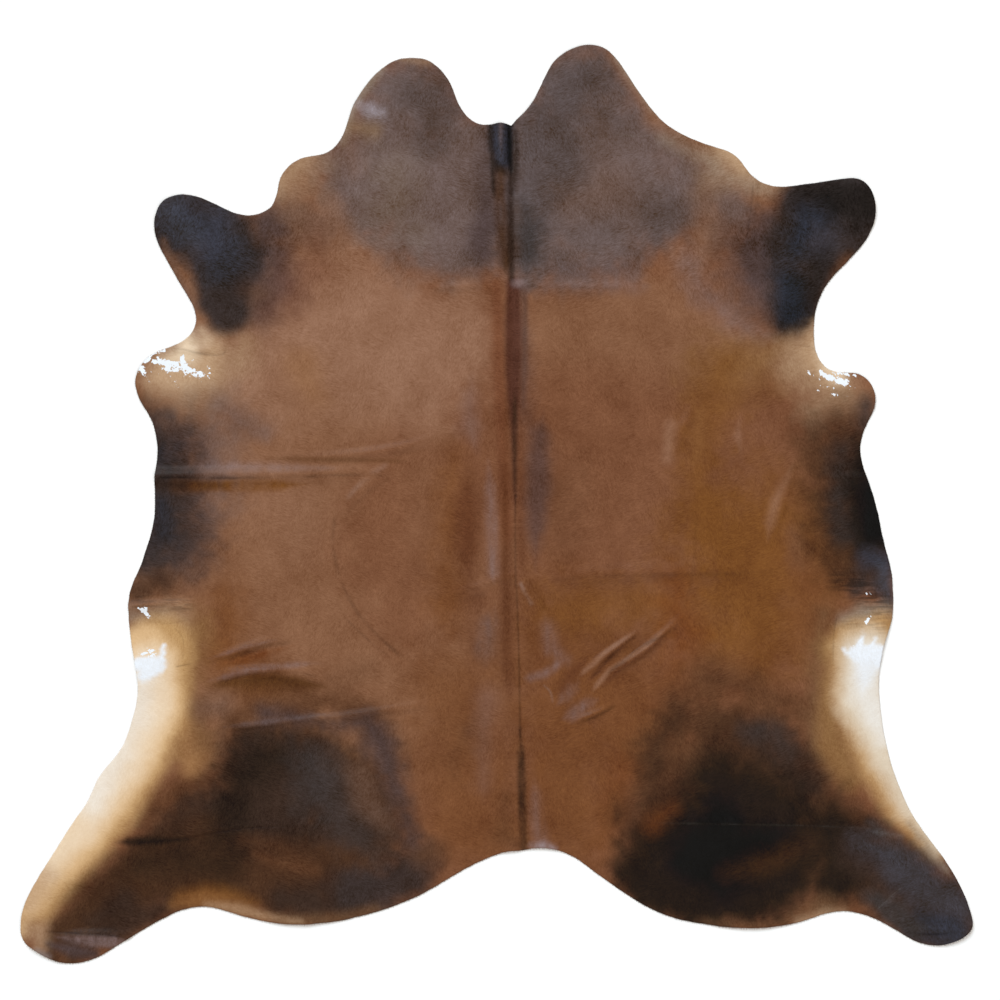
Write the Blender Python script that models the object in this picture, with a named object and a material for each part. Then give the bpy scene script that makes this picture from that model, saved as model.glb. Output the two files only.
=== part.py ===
"""A whole natural cowhide with the hair on, tanned and laid out flat, hair side up.

The neck end points to +Y and the flesh side rests on Z = 0. One skin is one sheet: its outline
is the trimmed edge of the skin, and its folds lift top and underside together.
"""

import math
from collections import namedtuple

import bmesh
import bpy
from mathutils import Vector
from mathutils.geometry import delaunay_2d_cdt

MM = 0.001

# The skin, in millimetres
THICKNESS = 3.0  # about 2 of leather and 1 of lying hair

# How finely the sheet is cut up
EDGE_STEP = 34.0  # longest side along the trimmed edge
EDGE_TURN = 17.0  # most degrees that one side of the edge turns
FILL_PITCH = 50.0  # between points where the skin lies flat
FOLD_STEP = 34.0  # between points along a fold
CLOSEST = 7.5  # no two points inside the edge are nearer than this
CREST_STEP = 12.0  # between the points of a crest from which the folds' heights are measured
SIDE_RAILS = (0.5, -0.5, 1.0, -1.0)  # rows of points beside a crest, in half widths
ROW_SHARE = 0.87  # of FILL_PITCH between the rows of the fill
FILL_ROOM = 0.62  # of FILL_PITCH, kept clear around each point of the fill
LONGEST_HALF = 1200.0  # the fill starts this far out

COAT_COLOUR = (0.20, 0.075, 0.028, 1.0)
COAT_ROUGHNESS = 0.55

# The trimmed edge, anticlockwise from the neck. Each row is a turning point of the edge: its
# place and the direction in which the edge runs there, anticlockwise from +X. A sharp corner
# has two rows at one place, with the direction before it and after it.
Landmark = namedtuple("Landmark", "name x y heading")

EDGE = (
    # Nape and left lobe of the neck
    Landmark("neck notch, left side", 33, 833, 165),
    Landmark("nape crest", 9, 839, 188),
    Landmark("nape dip", -29, 835, 176),
    Landmark("left lobe, inner foot", -66, 856, 134),
    Landmark("left lobe, inner side", -101, 926, 118),
    Landmark("left lobe, inner shoulder", -141, 972, 148),
    Landmark("left lobe, top", -194, 982, 184),
    Landmark("left lobe, outer shoulder", -238, 969, 214),
    Landmark("left lobe, outer side", -315, 876, 243),
    Landmark("left lobe, outer foot", -336, 816, 246),
    Landmark("left ledge, start", -378, 772, 200),
    Landmark("left ledge, end", -429, 761, 201),
    # Left foreleg
    Landmark("left shoulder, upper cut", -477, 713, 250),
    Landmark("left shoulder, lower cut", -493, 658, 230),
    Landmark("left shoulder, hollow", -552, 636, 176),
    Landmark("left foreleg, upper edge", -623, 663, 155),
    Landmark("left foreleg, shoulder", -684, 682, 178),
    Landmark("left foreleg, toe", -744, 651, 245),
    Landmark("left foreleg, outer edge", -748, 585, 287),
    Landmark("left foreleg, lower edge", -697, 486, 297),
    Landmark("left armpit, upper", -661, 409, 272),
    Landmark("left armpit, lower", -713, 348, 199),
    # Left belly and flank
    Landmark("left chest, upper", -777, 312, 232),
    Landmark("left chest, point", -794, 260, 277),
    Landmark("left chest, lower", -768, 200, 303),
    Landmark("left belly, upper", -746, 125, 275),
    Landmark("left belly, fold end", -752, 57, 268),
    Landmark("left belly, middle", -754, -35, 261),
    Landmark("left belly, lower", -781, -130, 251),
    Landmark("left flank, fold notch", -807, -194, 258),
    Landmark("left flank, upper", -807, -273, 275),
    Landmark("left flank, pale patch", -789, -409, 271),
    Landmark("left flank, lower", -810, -502, 254),
    # Left hind leg
    Landmark("left thigh, upper", -860, -581, 226),
    Landmark("left thigh, step", -890, -634, 251),
    Landmark("left thigh, lower", -944, -719, 240),
    Landmark("left hock", -1023, -847, 241),
    Landmark("left hind foot, outer", -1046, -935, 273),
    Landmark("left hind foot, sole", -1023, -977, 326),
    Landmark("left hind foot, heel", -933, -1012, 2),
    Landmark("left hind foot, inner", -843, -979, 33),
    Landmark("left hind foot, neck", -733, -913, 28),
    # Rump and tail
    Landmark("left rump, hollow", -647, -887, 0),
    Landmark("left rump, shallow", -557, -908, 345),
    Landmark("left rump, lowest", -442, -926, 0),
    Landmark("left rump, rising", -284, -904, 16),
    Landmark("left rump, inner", -141, -847, 31),
    Landmark("left tail root", -9, -776, 22),
    Landmark("tail notch, left side", 57, -763, 357),
    Landmark("tail notch, right side", 57, -763, 15),
    Landmark("right tail root", 112, -758, 355),
    Landmark("right rump, inner", 207, -803, 322),
    Landmark("right rump, falling", 323, -882, 330),
    Landmark("right rump, lower", 438, -922, 351),
    Landmark("right rump, lowest", 548, -934, 0),
    Landmark("right rump, rising", 695, -912, 20),
    Landmark("right rump, hollow", 757, -897, 2),
    # Right hind leg
    Landmark("right hind foot, neck", 858, -926, 332),
    Landmark("right hind foot, heel", 957, -972, 356),
    Landmark("right hind foot, inner", 1021, -958, 30),
    Landmark("right hind foot, sole", 1048, -917, 101),
    Landmark("right hock", 1021, -838, 117),
    Landmark("right thigh, lower", 937, -715, 127),
    Landmark("right thigh, upper", 882, -607, 111),
    # Right flank and belly
    Landmark("right flank, lower", 855, -510, 101),
    Landmark("right flank, middle", 843, -409, 93),
    Landmark("right flank, pale patch", 854, -310, 75),
    Landmark("right flank, upper", 875, -220, 92),
    Landmark("right belly, lower", 865, -125, 106),
    Landmark("right belly, middle", 843, -31, 99),
    Landmark("right belly, upper", 805, 97, 104),
    Landmark("right chest, lower", 821, 185, 62),
    Landmark("right chest, point", 834, 240, 103),
    Landmark("right chest, upper", 785, 289, 176),
    # Right foreleg
    Landmark("right armpit, lower", 726, 301, 140),
    Landmark("right armpit, upper", 700, 392, 88),
    Landmark("right foreleg, lower edge", 739, 497, 48),
    Landmark("right foreleg, outer edge", 823, 596, 63),
    Landmark("right foreleg, toe side", 832, 673, 104),
    Landmark("right foreleg, toe", 781, 717, 184),
    Landmark("right foreleg, upper edge", 658, 701, 187),
    Landmark("right shoulder, hollow", 581, 710, 150),
    Landmark("right shoulder, lower cut", 550, 739, 121),
    # Right lobe of the neck
    Landmark("right shoulder, upper cut", 508, 778, 160),
    Landmark("right ledge", 440, 800, 156),
    Landmark("right lobe, outer foot", 352, 858, 130),
    Landmark("right lobe, outer side", 295, 937, 124),
    Landmark("right lobe, outer shoulder", 251, 994, 140),
    Landmark("right lobe, top", 198, 1010, 188),
    Landmark("right lobe, inner shoulder", 132, 979, 225),
    Landmark("right lobe, inner side", 95, 915, 246),
    Landmark("right lobe, inner foot", 66, 867, 225),
    Landmark("neck notch, right side", 33, 833, 232),
)

# Folds stand up from the floor along an arc from start over bend to end. Heights are those of
# the crest at the start, halfway and at the end. The two half widths are on the left and on
# the right of someone who walks from start to end.
Fold = namedtuple("Fold", "name start bend end heights left right")

FOLDS = (
    # The backbone: a crest on the neck, then a welt at each side of a groove
    Fold("neck crest", (9, 843), (9, 669), (20, 493), (9, 9, 4), 24, 22),
    Fold("left welt, front", (20, 493), (11, 163), (9, -167), (4, 5, 8), 20, 35),
    Fold("left welt, rear", (9, -167), (2, -409), (33, -763), (8, 4, 4), 33, 35),
    Fold("left spine swell", (-70, 295), (-79, 9), (-53, -233), (0, 4, 0), 33, 88),
    Fold("right welt, neck", (75, 871), (77, 669), (84, 482), (3, 4, 4), 50, 30),
    Fold("right welt, front", (84, 482), (103, 163), (103, -167), (4, 6, 8), 90, 36),
    Fold("right welt, rear", (103, -167), (154, -343), (99, -761), (8, 5, 4), 80, 48),
    # Folds across the skin from when it lay packed
    Fold("left packing fold", (-755, 62), (-497, 66), (-189, 70), (9, 7, 0), 24, 32),
    Fold("left second fold", (-541, 99), (-200, 99), (-108, 163), (0, 5, 0), 18, 20),
    Fold("packing fold, right end", (603, 64), (702, 57), (818, 55), (0, 2, 4), 22, 22),
    Fold("shoulder fold, left", (-156, 473), (-84, 475), (-4, 482), (0, 3, 1), 20, 22),
    Fold("shoulder fold, right", (53, 477), (163, 477), (361, 473), (3, 4, 0), 22, 24),
    Fold("middle fold, left", (26, -163), (-31, -191), (-132, -207), (4, 4, 0), 24, 24),
    Fold("middle fold, right", (88, -169), (339, -139), (669, -147), (3, 6, 0), 34, 28),
    Fold("left flank fold", (-807, -227), (-717, -220), (-629, -220), (6, 4, 0), 18, 20),
    Fold("left rear fold", (-832, -750), (-541, -713), (-57, -702), (2, 6, 0), 24, 26),
    Fold("right rear fold", (145, -713), (537, -697), (924, -719), (0, 6, 4), 24, 26),
    # Bent creases, alike on both sides because they were pressed while it lay folded
    Fold("left arc, upper", (-207, 84), (-343, 40), (-359, -90), (0, 3, 4), 18, 18),
    Fold("left arc, lower", (-359, -90), (-348, -238), (-156, -356), (4, 3, 0), 18, 18),
    Fold("right arc", (438, 9), (455, -145), (405, -249), (0, 3, 3), 18, 18),
    # Wrinkles of the flanks, the forelegs and the feet
    Fold("left wrinkle, upper", (-645, -343), (-552, -321), (-462, -284), (0, 5, 0), 16, 18),
    Fold("left wrinkle, main", (-640, -385), (-530, -350), (-387, -383), (0, 9, 0), 18, 24),
    Fold("left wrinkle, lower", (-572, -495), (-365, -477), (-26, -420), (0, 5, 0), 16, 18),
    Fold("right wrinkle, upper", (191, -363), (255, -328), (343, -266), (0, 7, 0), 15, 18),
    Fold("right wrinkle, long", (216, -392), (328, -332), (405, -249), (0, 8, 3), 15, 18),
    Fold("right wrinkle, by the welt", (92, -372), (141, -370), (180, -326), (0, 5, 0), 20, 20),
    Fold("right wrinkle, lower", (150, -484), (207, -471), (262, -442), (0, 6, 0), 14, 16),
    Fold("right chest dent", (453, 233), (396, 167), (403, 79), (0, 5, 0), 26, 22),
    Fold("right chest streak", (541, 207), (532, 152), (539, 92), (0, 3, 0), 22, 22),
    Fold("right flank streak", (647, 57), (616, -18), (598, -106), (0, 6, 0), 24, 24),
    Fold("right flank nick", (389, -57), (385, -101), (389, -150), (0, 3, 0), 22, 20),
    Fold("right foreleg fold", (568, 711), (565, 660), (546, 598), (6, 4, 0), 18, 16),
    Fold("left armpit fold", (-704, 341), (-651, 332), (-590, 348), (3, 4, 0), 14, 14),
    Fold("left foot fold", (-1016, -946), (-915, -957), (-810, -950), (4, 9, 3), 24, 18),
    Fold("right foot fold", (873, -933), (955, -942), (1056, -937), (0, 6, 4), 18, 16),
    Fold("right foot arc", (829, -906), (880, -884), (889, -840), (0, 4, 0), 14, 14),
)

# Places where the skin has not quite settled onto the floor
Swell = namedtuple("Swell", "name x y reach height")

SWELLS = (
    Swell("left neck lobe", -268, 862, 110, 5),
    Swell("right neck lobe", 205, 990, 105, 5),
    Swell("left foreleg toe", -745, 640, 115, 8),
    Swell("right foreleg toe", 830, 690, 120, 8),
    Swell("left chest point", -785, 275, 80, 6),
    Swell("right chest point", 822, 262, 80, 6),
    Swell("left flank", -795, -350, 100, 6),
    Swell("right flank", 862, -315, 100, 6),
    Swell("left hind foot", -1020, -950, 120, 9),
    Swell("right hind foot", 1035, -935, 110, 8),
    Swell("left rump", -430, -930, 120, 5),
    Swell("right rump", 560, -936, 120, 5),
)


def clear_scene():
    for old in list(bpy.data.objects):
        bpy.data.objects.remove(old)


def side_of_edge(first, second):
    """The points of the edge from one landmark up to the next one, on a round arc."""
    start = Vector((first.x, first.y))
    end = Vector((second.x, second.y))
    length = (end - start).length
    if length == 0.0:
        return []
    turn = (second.heading - first.heading + 180.0) % 360.0 - 180.0
    reach = length / (3.0 * math.cos(math.radians(turn) / 4.0) ** 2)
    leave = reach * direction(first.heading)
    arrive = reach * direction(second.heading)
    steps = max(1, math.ceil(length / EDGE_STEP), math.ceil(abs(turn) / EDGE_TURN))
    points = []
    for step in range(steps):
        t = step / steps
        s = 1.0 - t
        handles = 3.0 * s * s * t * (start + leave) + 3.0 * s * t * t * (end - arrive)
        points.append(s**3 * start + handles + t**3 * end)
    return points


def direction(heading):
    angle = math.radians(heading)
    return Vector((math.cos(angle), math.sin(angle)))


def edge_of_skin():
    """The whole trimmed edge, moved so that the middle of its box is the origin."""
    points = []
    for first, second in zip(EDGE, EDGE[1:] + EDGE[:1]):
        points += side_of_edge(first, second)
    low = Vector((min(p.x for p in points), min(p.y for p in points)))
    high = Vector((max(p.x for p in points), max(p.y for p in points)))
    middle = (low + high) / 2.0
    return [p - middle for p in points], middle


def fold_point(fold, t, across, middle):
    """A point of the skin beside a fold: t runs along it, and across is in half widths."""
    start = Vector(fold.start)
    bend = Vector(fold.bend)
    end = Vector(fold.end)
    crest = (1.0 - t) ** 2 * start + 2.0 * t * (1.0 - t) * bend + t * t * end
    ahead = (1.0 - t) * (bend - start) + t * (end - bend)
    left = Vector((-ahead.y, ahead.x)).normalized()
    width = fold.left if across > 0.0 else fold.right
    return crest + left * across * width - middle


def rail_of(fold, across, middle):
    """A row of points along a fold."""
    length = (Vector(fold.end) - Vector(fold.start)).length
    steps = max(2, round(length / FOLD_STEP))
    return [fold_point(fold, step / steps, across, middle) for step in range(steps + 1)]


def smooth(t):
    t = min(1.0, max(0.0, t))
    return t * t * (3.0 - 2.0 * t)


def crest_height(fold, t):
    first, halfway, last = fold.heights
    if t < 0.5:
        return first + (halfway - first) * smooth(2.0 * t)
    return halfway + (last - halfway) * smooth(2.0 * t - 1.0)


def crest_line(fold, middle):
    """Short pieces of a fold's crest: start, end and the share of the way where each starts."""
    steps = max(4, round((Vector(fold.end) - Vector(fold.start)).length / CREST_STEP))
    points = [fold_point(fold, step / steps, 0.0, middle) for step in range(steps + 1)]
    return [(points[i], points[i + 1], i / steps, 1.0 / steps) for i in range(steps)]


def lift_of_fold(fold, line, place):
    """How far a fold lifts the skin at a place."""
    nearest = None
    for first, second, share, step in line:
        along = second - first
        part = (place - first).dot(along) / along.length_squared
        part = min(1.0, max(0.0, part))
        off = place - first - along * part
        if nearest is None or off.length < nearest[0]:
            left = along.x * off.y - along.y * off.x > 0.0
            nearest = (off.length, left, share + step * part)
    distance, left, t = nearest
    width = fold.left if left else fold.right
    return crest_height(fold, t) * smooth(1.0 - distance / width)


def lift_at(place, lines, middle):
    """The underside's height above the floor: near folds meet as one soft shape."""
    lifts = [lift_of_fold(fold, line, place) for fold, line in lines]
    for swell in SWELLS:
        away = (place - Vector((swell.x, swell.y)) + middle).length
        lifts.append(swell.height * smooth(1.0 - away / swell.reach))
    return sum(lift**3 for lift in lifts) ** (1.0 / 3.0)


def points_inside(edge, middle):
    """The points of the sheet, and the lines that its triangles keep: the edge, then the crests."""
    chosen = list(edge)
    inside = edge_test(edge)
    cells = {}
    for p in chosen:
        cells.setdefault(cell_of(p), []).append(p)

    def add(p, room):
        if not inside(p) or not is_clear(p, room, cells):
            return False
        chosen.append(p)
        cells.setdefault(cell_of(p), []).append(p)
        return True

    kept_lines = []
    for fold in FOLDS:
        crest = []
        for p in rail_of(fold, 0.0, middle):
            if add(p, CLOSEST):
                crest.append(len(chosen) - 1)
        kept_lines += zip(crest, crest[1:])
    for across in SIDE_RAILS:
        for fold in FOLDS:
            for p in rail_of(fold, across, middle):
                add(p, CLOSEST)
    rows = math.ceil(LONGEST_HALF / FILL_PITCH)
    for row in range(-rows, rows):
        for column in range(-rows, rows):
            shift = 0.5 * (row % 2)
            p = Vector(((column + shift) * FILL_PITCH, row * FILL_PITCH * ROW_SHARE))
            add(p, FILL_ROOM * FILL_PITCH)
    return chosen, kept_lines


def cell_of(p):
    return (math.floor(p.x / FILL_PITCH), math.floor(p.y / FILL_PITCH))


def is_clear(p, room, cells):
    column, row = cell_of(p)
    for x in (column - 1, column, column + 1):
        for y in (row - 1, row, row + 1):
            if any((q - p).length < room for q in cells.get((x, y), ())):
                return False
    return True


def edge_test(edge):
    """A function that tells whether a place lies on the skin."""

    def inside(p):
        crossings = 0
        for a, b in zip(edge, edge[1:] + edge[:1]):
            if (a.y > p.y) != (b.y > p.y):
                if a.x + (p.y - a.y) * (b.x - a.x) / (b.y - a.y) > p.x:
                    crossings += 1
        return crossings % 2 == 1

    return inside


def coat_material():
    material = bpy.data.materials.new("hair_coat")
    material.use_nodes = True
    shader = material.node_tree.nodes["Principled BSDF"]
    shader.inputs["Base Color"].default_value = COAT_COLOUR
    shader.inputs["Roughness"].default_value = COAT_ROUGHNESS
    shader.inputs["Metallic"].default_value = 0.0
    return material


def build_hide():
    edge, middle = edge_of_skin()
    points, kept_lines = points_inside(edge, middle)
    outline = list(range(len(edge)))
    flat, _, triangles, *_ = delaunay_2d_cdt(points, kept_lines, [outline], 1, 1e-5)
    lines = [(fold, crest_line(fold, middle)) for fold in FOLDS]

    shape = bmesh.new()
    under = []
    for p in flat:
        under.append(shape.verts.new((p.x * MM, p.y * MM, lift_at(p, lines, middle) * MM)))
    for corners in triangles:
        shape.faces.new([under[i] for i in corners])
    raised = bmesh.ops.extrude_face_region(shape, geom=shape.faces[:], use_keep_orig=True)
    top = [part for part in raised["geom"] if isinstance(part, bmesh.types.BMVert)]
    bmesh.ops.translate(shape, verts=top, vec=(0.0, 0.0, THICKNESS * MM))
    bmesh.ops.recalc_face_normals(shape, faces=shape.faces[:])
    bmesh.ops.triangulate(shape, faces=[f for f in shape.faces if len(f.verts) > 3])

    mesh = bpy.data.meshes.new("hide")
    shape.to_mesh(mesh)
    shape.free()
    mesh.materials.append(coat_material())
    mesh.shade_smooth()
    mesh.set_sharp_from_angle(angle=math.radians(50.0))
    hide = bpy.data.objects.new("hide", mesh)
    bpy.context.scene.collection.objects.link(hide)
    return hide


clear_scene()
build_hide()
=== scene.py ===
"""A whole natural cowhide, hair side up, laid flat on a pale studio floor.

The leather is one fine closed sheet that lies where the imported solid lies: its trimmed edge is
the solid's own, its folds are the solid's folds at a finer pitch, and small creases, the coat's
patches and its white flecks are added from the tables below. Short hairs reach past its edge.
Places are in millimetres from the middle of the hide, with the neck towards +Y, unless a
comment says metres.
"""

import math
from collections import namedtuple

import bmesh
import bpy
import numpy as np
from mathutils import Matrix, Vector
from mathutils.geometry import delaunay_2d_cdt


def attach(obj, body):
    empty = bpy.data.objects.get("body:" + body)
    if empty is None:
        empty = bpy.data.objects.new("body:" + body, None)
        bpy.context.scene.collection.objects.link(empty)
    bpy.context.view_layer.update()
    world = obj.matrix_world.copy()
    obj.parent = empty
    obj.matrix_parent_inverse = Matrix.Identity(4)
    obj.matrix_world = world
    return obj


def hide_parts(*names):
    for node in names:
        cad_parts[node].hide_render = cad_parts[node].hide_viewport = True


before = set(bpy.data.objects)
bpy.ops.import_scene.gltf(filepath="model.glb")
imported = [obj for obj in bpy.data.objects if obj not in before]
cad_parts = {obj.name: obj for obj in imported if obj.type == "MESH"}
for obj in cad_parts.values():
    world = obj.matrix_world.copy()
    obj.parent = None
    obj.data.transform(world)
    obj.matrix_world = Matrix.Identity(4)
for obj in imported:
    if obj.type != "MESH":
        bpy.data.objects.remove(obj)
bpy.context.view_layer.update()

MM = 0.001

THICKNESS = 3.0
PRESSED_MOST = 1.7  # how far a crease presses the hair down at most
UNEVENNESS = ((0.34, 74, 11), (0.16, 31, 12), (0.05, 14, 13))  # strength, lump size and seed
FOLD_ORIGIN = (1.25, -0.81)  # the middle of the edge's box, in the places that the folds use
SPINE_X = 45.0  # the hair parts along the backbone

# The solid's cut edge: the walls' faces point up or down by less than WALL, the others by more
# than LEVEL, and a corner turns by more than SHARP_TURN degrees
WALL, LEVEL = 0.3, 0.7
SHARP_TURN = 36
RIM_WANDER = ((0.5, 26, 31), (0.3, 11, 32))  # strength, lump size and seed
RIM_OUT = 0.8  # how far the wandering edge lies outside the solid's

# How finely the sheet is cut up
HALF_WIDTH, HALF_HEIGHT = 1060, 1030  # of the field that is filled with places
COARSE = 9.2  # pitch of the hair side
UNDER = 17.0  # pitch of the flesh side
ROW_SHARE = 0.866  # from row to row of the three-way grid, as a share of the pitch
STRAY = 0.12  # how far a place strays from the grid, as a share of the pitch
RIM_STEP = 5.0
RIM_ROOM = 0.55  # room left inside the rim, as a share of RIM_STEP
CREASE_STEP = 12
CREASE_REACH = 12.0  # how far from a crease the pitch is halved
FOLD_STEP = 9
FOLD_REACH = 26.0  # and how far from a fold
THIN = 3.0  # a crease of this reach or less is a line, with rows of places of its own
THIN_ROWS = (-4.6, -1.7, 0.0, 1.7, 4.6)
THIN_STEP = 3.6
THIN_ROOM = 1.6  # room beside the outer rows

# Rings of the rim, from the cut edge inwards: inset and height above the flesh side
RIM_TOP = ((0.0, 1.5), (0.7, 2.5), (3.0, 3.0))
RIM_UNDER = ((0.6, 0.35), (2.5, 0.0))
RIM_DROP = 0.5  # how far the hair side sinks towards the rim
HAIRY_RINGS = 2  # bands of the rim, from the top, that the coat covers
WAVES_FADE, DROP_REACH = 20, 12  # how far from the rim the waves fade and the side sinks
HAIR_SIDE, CUT_EDGE, FLESH_SIDE = range(3)  # the sheet's material slots

# How a crease looks: how much wider than its reach its soft border is, how much that wanders,
# and the share of its length, one in so many, in which it fades out at either end. Between its
# ends its shade varies about CREASE_MEAN by CREASE_SWING.
CREASE_SPREAD = 1.25
CREASE_WOBBLE = 0.25
CREASE_ENDS = 7
CREASE_MEAN, CREASE_SWING = 0.72, 0.5


def table(name, columns, rows):
    """Rows with named columns."""
    row = namedtuple(name, columns)
    return [row(*values) for values in rows]


# ---------------------------------------------------------------- folds of the solid
FOLDS = table("Fold", "name start bend end heights left right", (
    ("neck crest", (9, 843), (9, 669), (20, 493), (9, 9, 4), 24, 22),
    ("left welt, front", (20, 493), (11, 163), (9, -167), (4, 5, 8), 20, 35),
    ("left welt, rear", (9, -167), (2, -409), (33, -763), (8, 4, 4), 33, 35),
    ("left spine swell", (-70, 295), (-79, 9), (-53, -233), (0, 4, 0), 33, 88),
    ("right welt, neck", (75, 871), (77, 669), (84, 482), (3, 4, 4), 50, 30),
    ("right welt, front", (84, 482), (103, 163), (103, -167), (4, 6, 8), 90, 36),
    ("right welt, rear", (103, -167), (154, -343), (99, -761), (8, 5, 4), 80, 48),
    ("left packing fold", (-755, 62), (-497, 66), (-189, 70), (9, 7, 0), 24, 32),
    ("left second fold", (-541, 99), (-200, 99), (-108, 163), (0, 5, 0), 18, 20),
    ("packing fold, right end", (603, 64), (702, 57), (818, 55), (0, 2, 4), 22, 22),
    ("shoulder fold, left", (-156, 473), (-84, 475), (-4, 482), (0, 3, 1), 20, 22),
    ("shoulder fold, right", (53, 477), (163, 477), (361, 473), (3, 4, 0), 22, 24),
    ("middle fold, left", (26, -163), (-31, -191), (-132, -207), (4, 4, 0), 24, 24),
    ("middle fold, right", (88, -169), (339, -139), (669, -147), (3, 6, 0), 34, 28),
    ("left flank fold", (-807, -227), (-717, -220), (-629, -220), (6, 4, 0), 18, 20),
    ("left rear fold", (-832, -750), (-541, -713), (-57, -702), (1, 3, 0), 34, 36),
    ("right rear fold", (145, -713), (537, -697), (924, -719), (0, 3, 2), 34, 36),
    ("left arc, upper", (-207, 84), (-343, 40), (-359, -90), (0, 1.4, 1.6), 26, 26),
    ("left arc, lower", (-359, -90), (-348, -238), (-156, -356), (1.6, 1.4, 0), 24, 24),
    ("right arc", (438, 9), (455, -145), (405, -249), (0, 1.4, 1.6), 24, 24),
    ("left wrinkle, upper", (-645, -343), (-552, -321), (-462, -284), (0, 5, 0), 16, 18),
    ("left wrinkle, main", (-640, -385), (-530, -350), (-387, -383), (0, 9, 0), 18, 24),
    ("left wrinkle, lower", (-572, -495), (-365, -477), (-26, -420), (0, 5, 0), 16, 18),
    ("right wrinkle, upper", (191, -363), (255, -328), (343, -266), (0, 7, 0), 15, 18),
    ("right wrinkle, long", (216, -392), (328, -332), (405, -249), (0, 8, 3), 15, 18),
    ("right wrinkle, by the welt", (92, -372), (141, -370), (180, -326), (0, 5, 0), 20, 20),
    ("right wrinkle, lower", (150, -484), (207, -471), (262, -442), (0, 6, 0), 14, 16),
    ("right chest dent", (453, 233), (396, 167), (403, 79), (0, 5, 0), 26, 22),
    ("right chest streak", (541, 207), (532, 152), (539, 92), (0, 3, 0), 22, 22),
    ("right flank streak", (647, 57), (616, -18), (598, -106), (0, 6, 0), 24, 24),
    ("right flank nick", (389, -57), (385, -101), (389, -150), (0, 3, 0), 22, 20),
    ("right foreleg fold", (568, 711), (565, 660), (546, 598), (6, 4, 0), 18, 16),
    ("left armpit fold", (-704, 341), (-651, 332), (-590, 348), (3, 4, 0), 14, 14),
    ("left foot fold", (-1016, -946), (-915, -957), (-810, -950), (4, 9, 3), 24, 18),
    ("right foot fold", (873, -933), (955, -942), (1056, -937), (0, 6, 4), 18, 16),
    ("right foot arc", (829, -906), (880, -884), (889, -840), (0, 4, 0), 14, 14),
))

SWELLS = table("Swell", "name x y reach height", (
    ("left neck lobe", -268, 862, 110, 5),
    ("right neck lobe", 205, 990, 105, 5),
    ("left foreleg toe", -745, 640, 115, 8),
    ("right foreleg toe", 830, 690, 120, 8),
    ("left chest point", -785, 275, 80, 6),
    ("right chest point", 822, 262, 80, 6),
    ("left flank", -795, -350, 100, 6),
    ("right flank", 862, -315, 100, 6),
    ("left hind foot", -1020, -950, 120, 9),
    ("right hind foot", 1035, -935, 110, 8),
    ("left rump", -430, -930, 120, 5),
    ("right rump", 560, -936, 120, 5),
))

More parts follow.
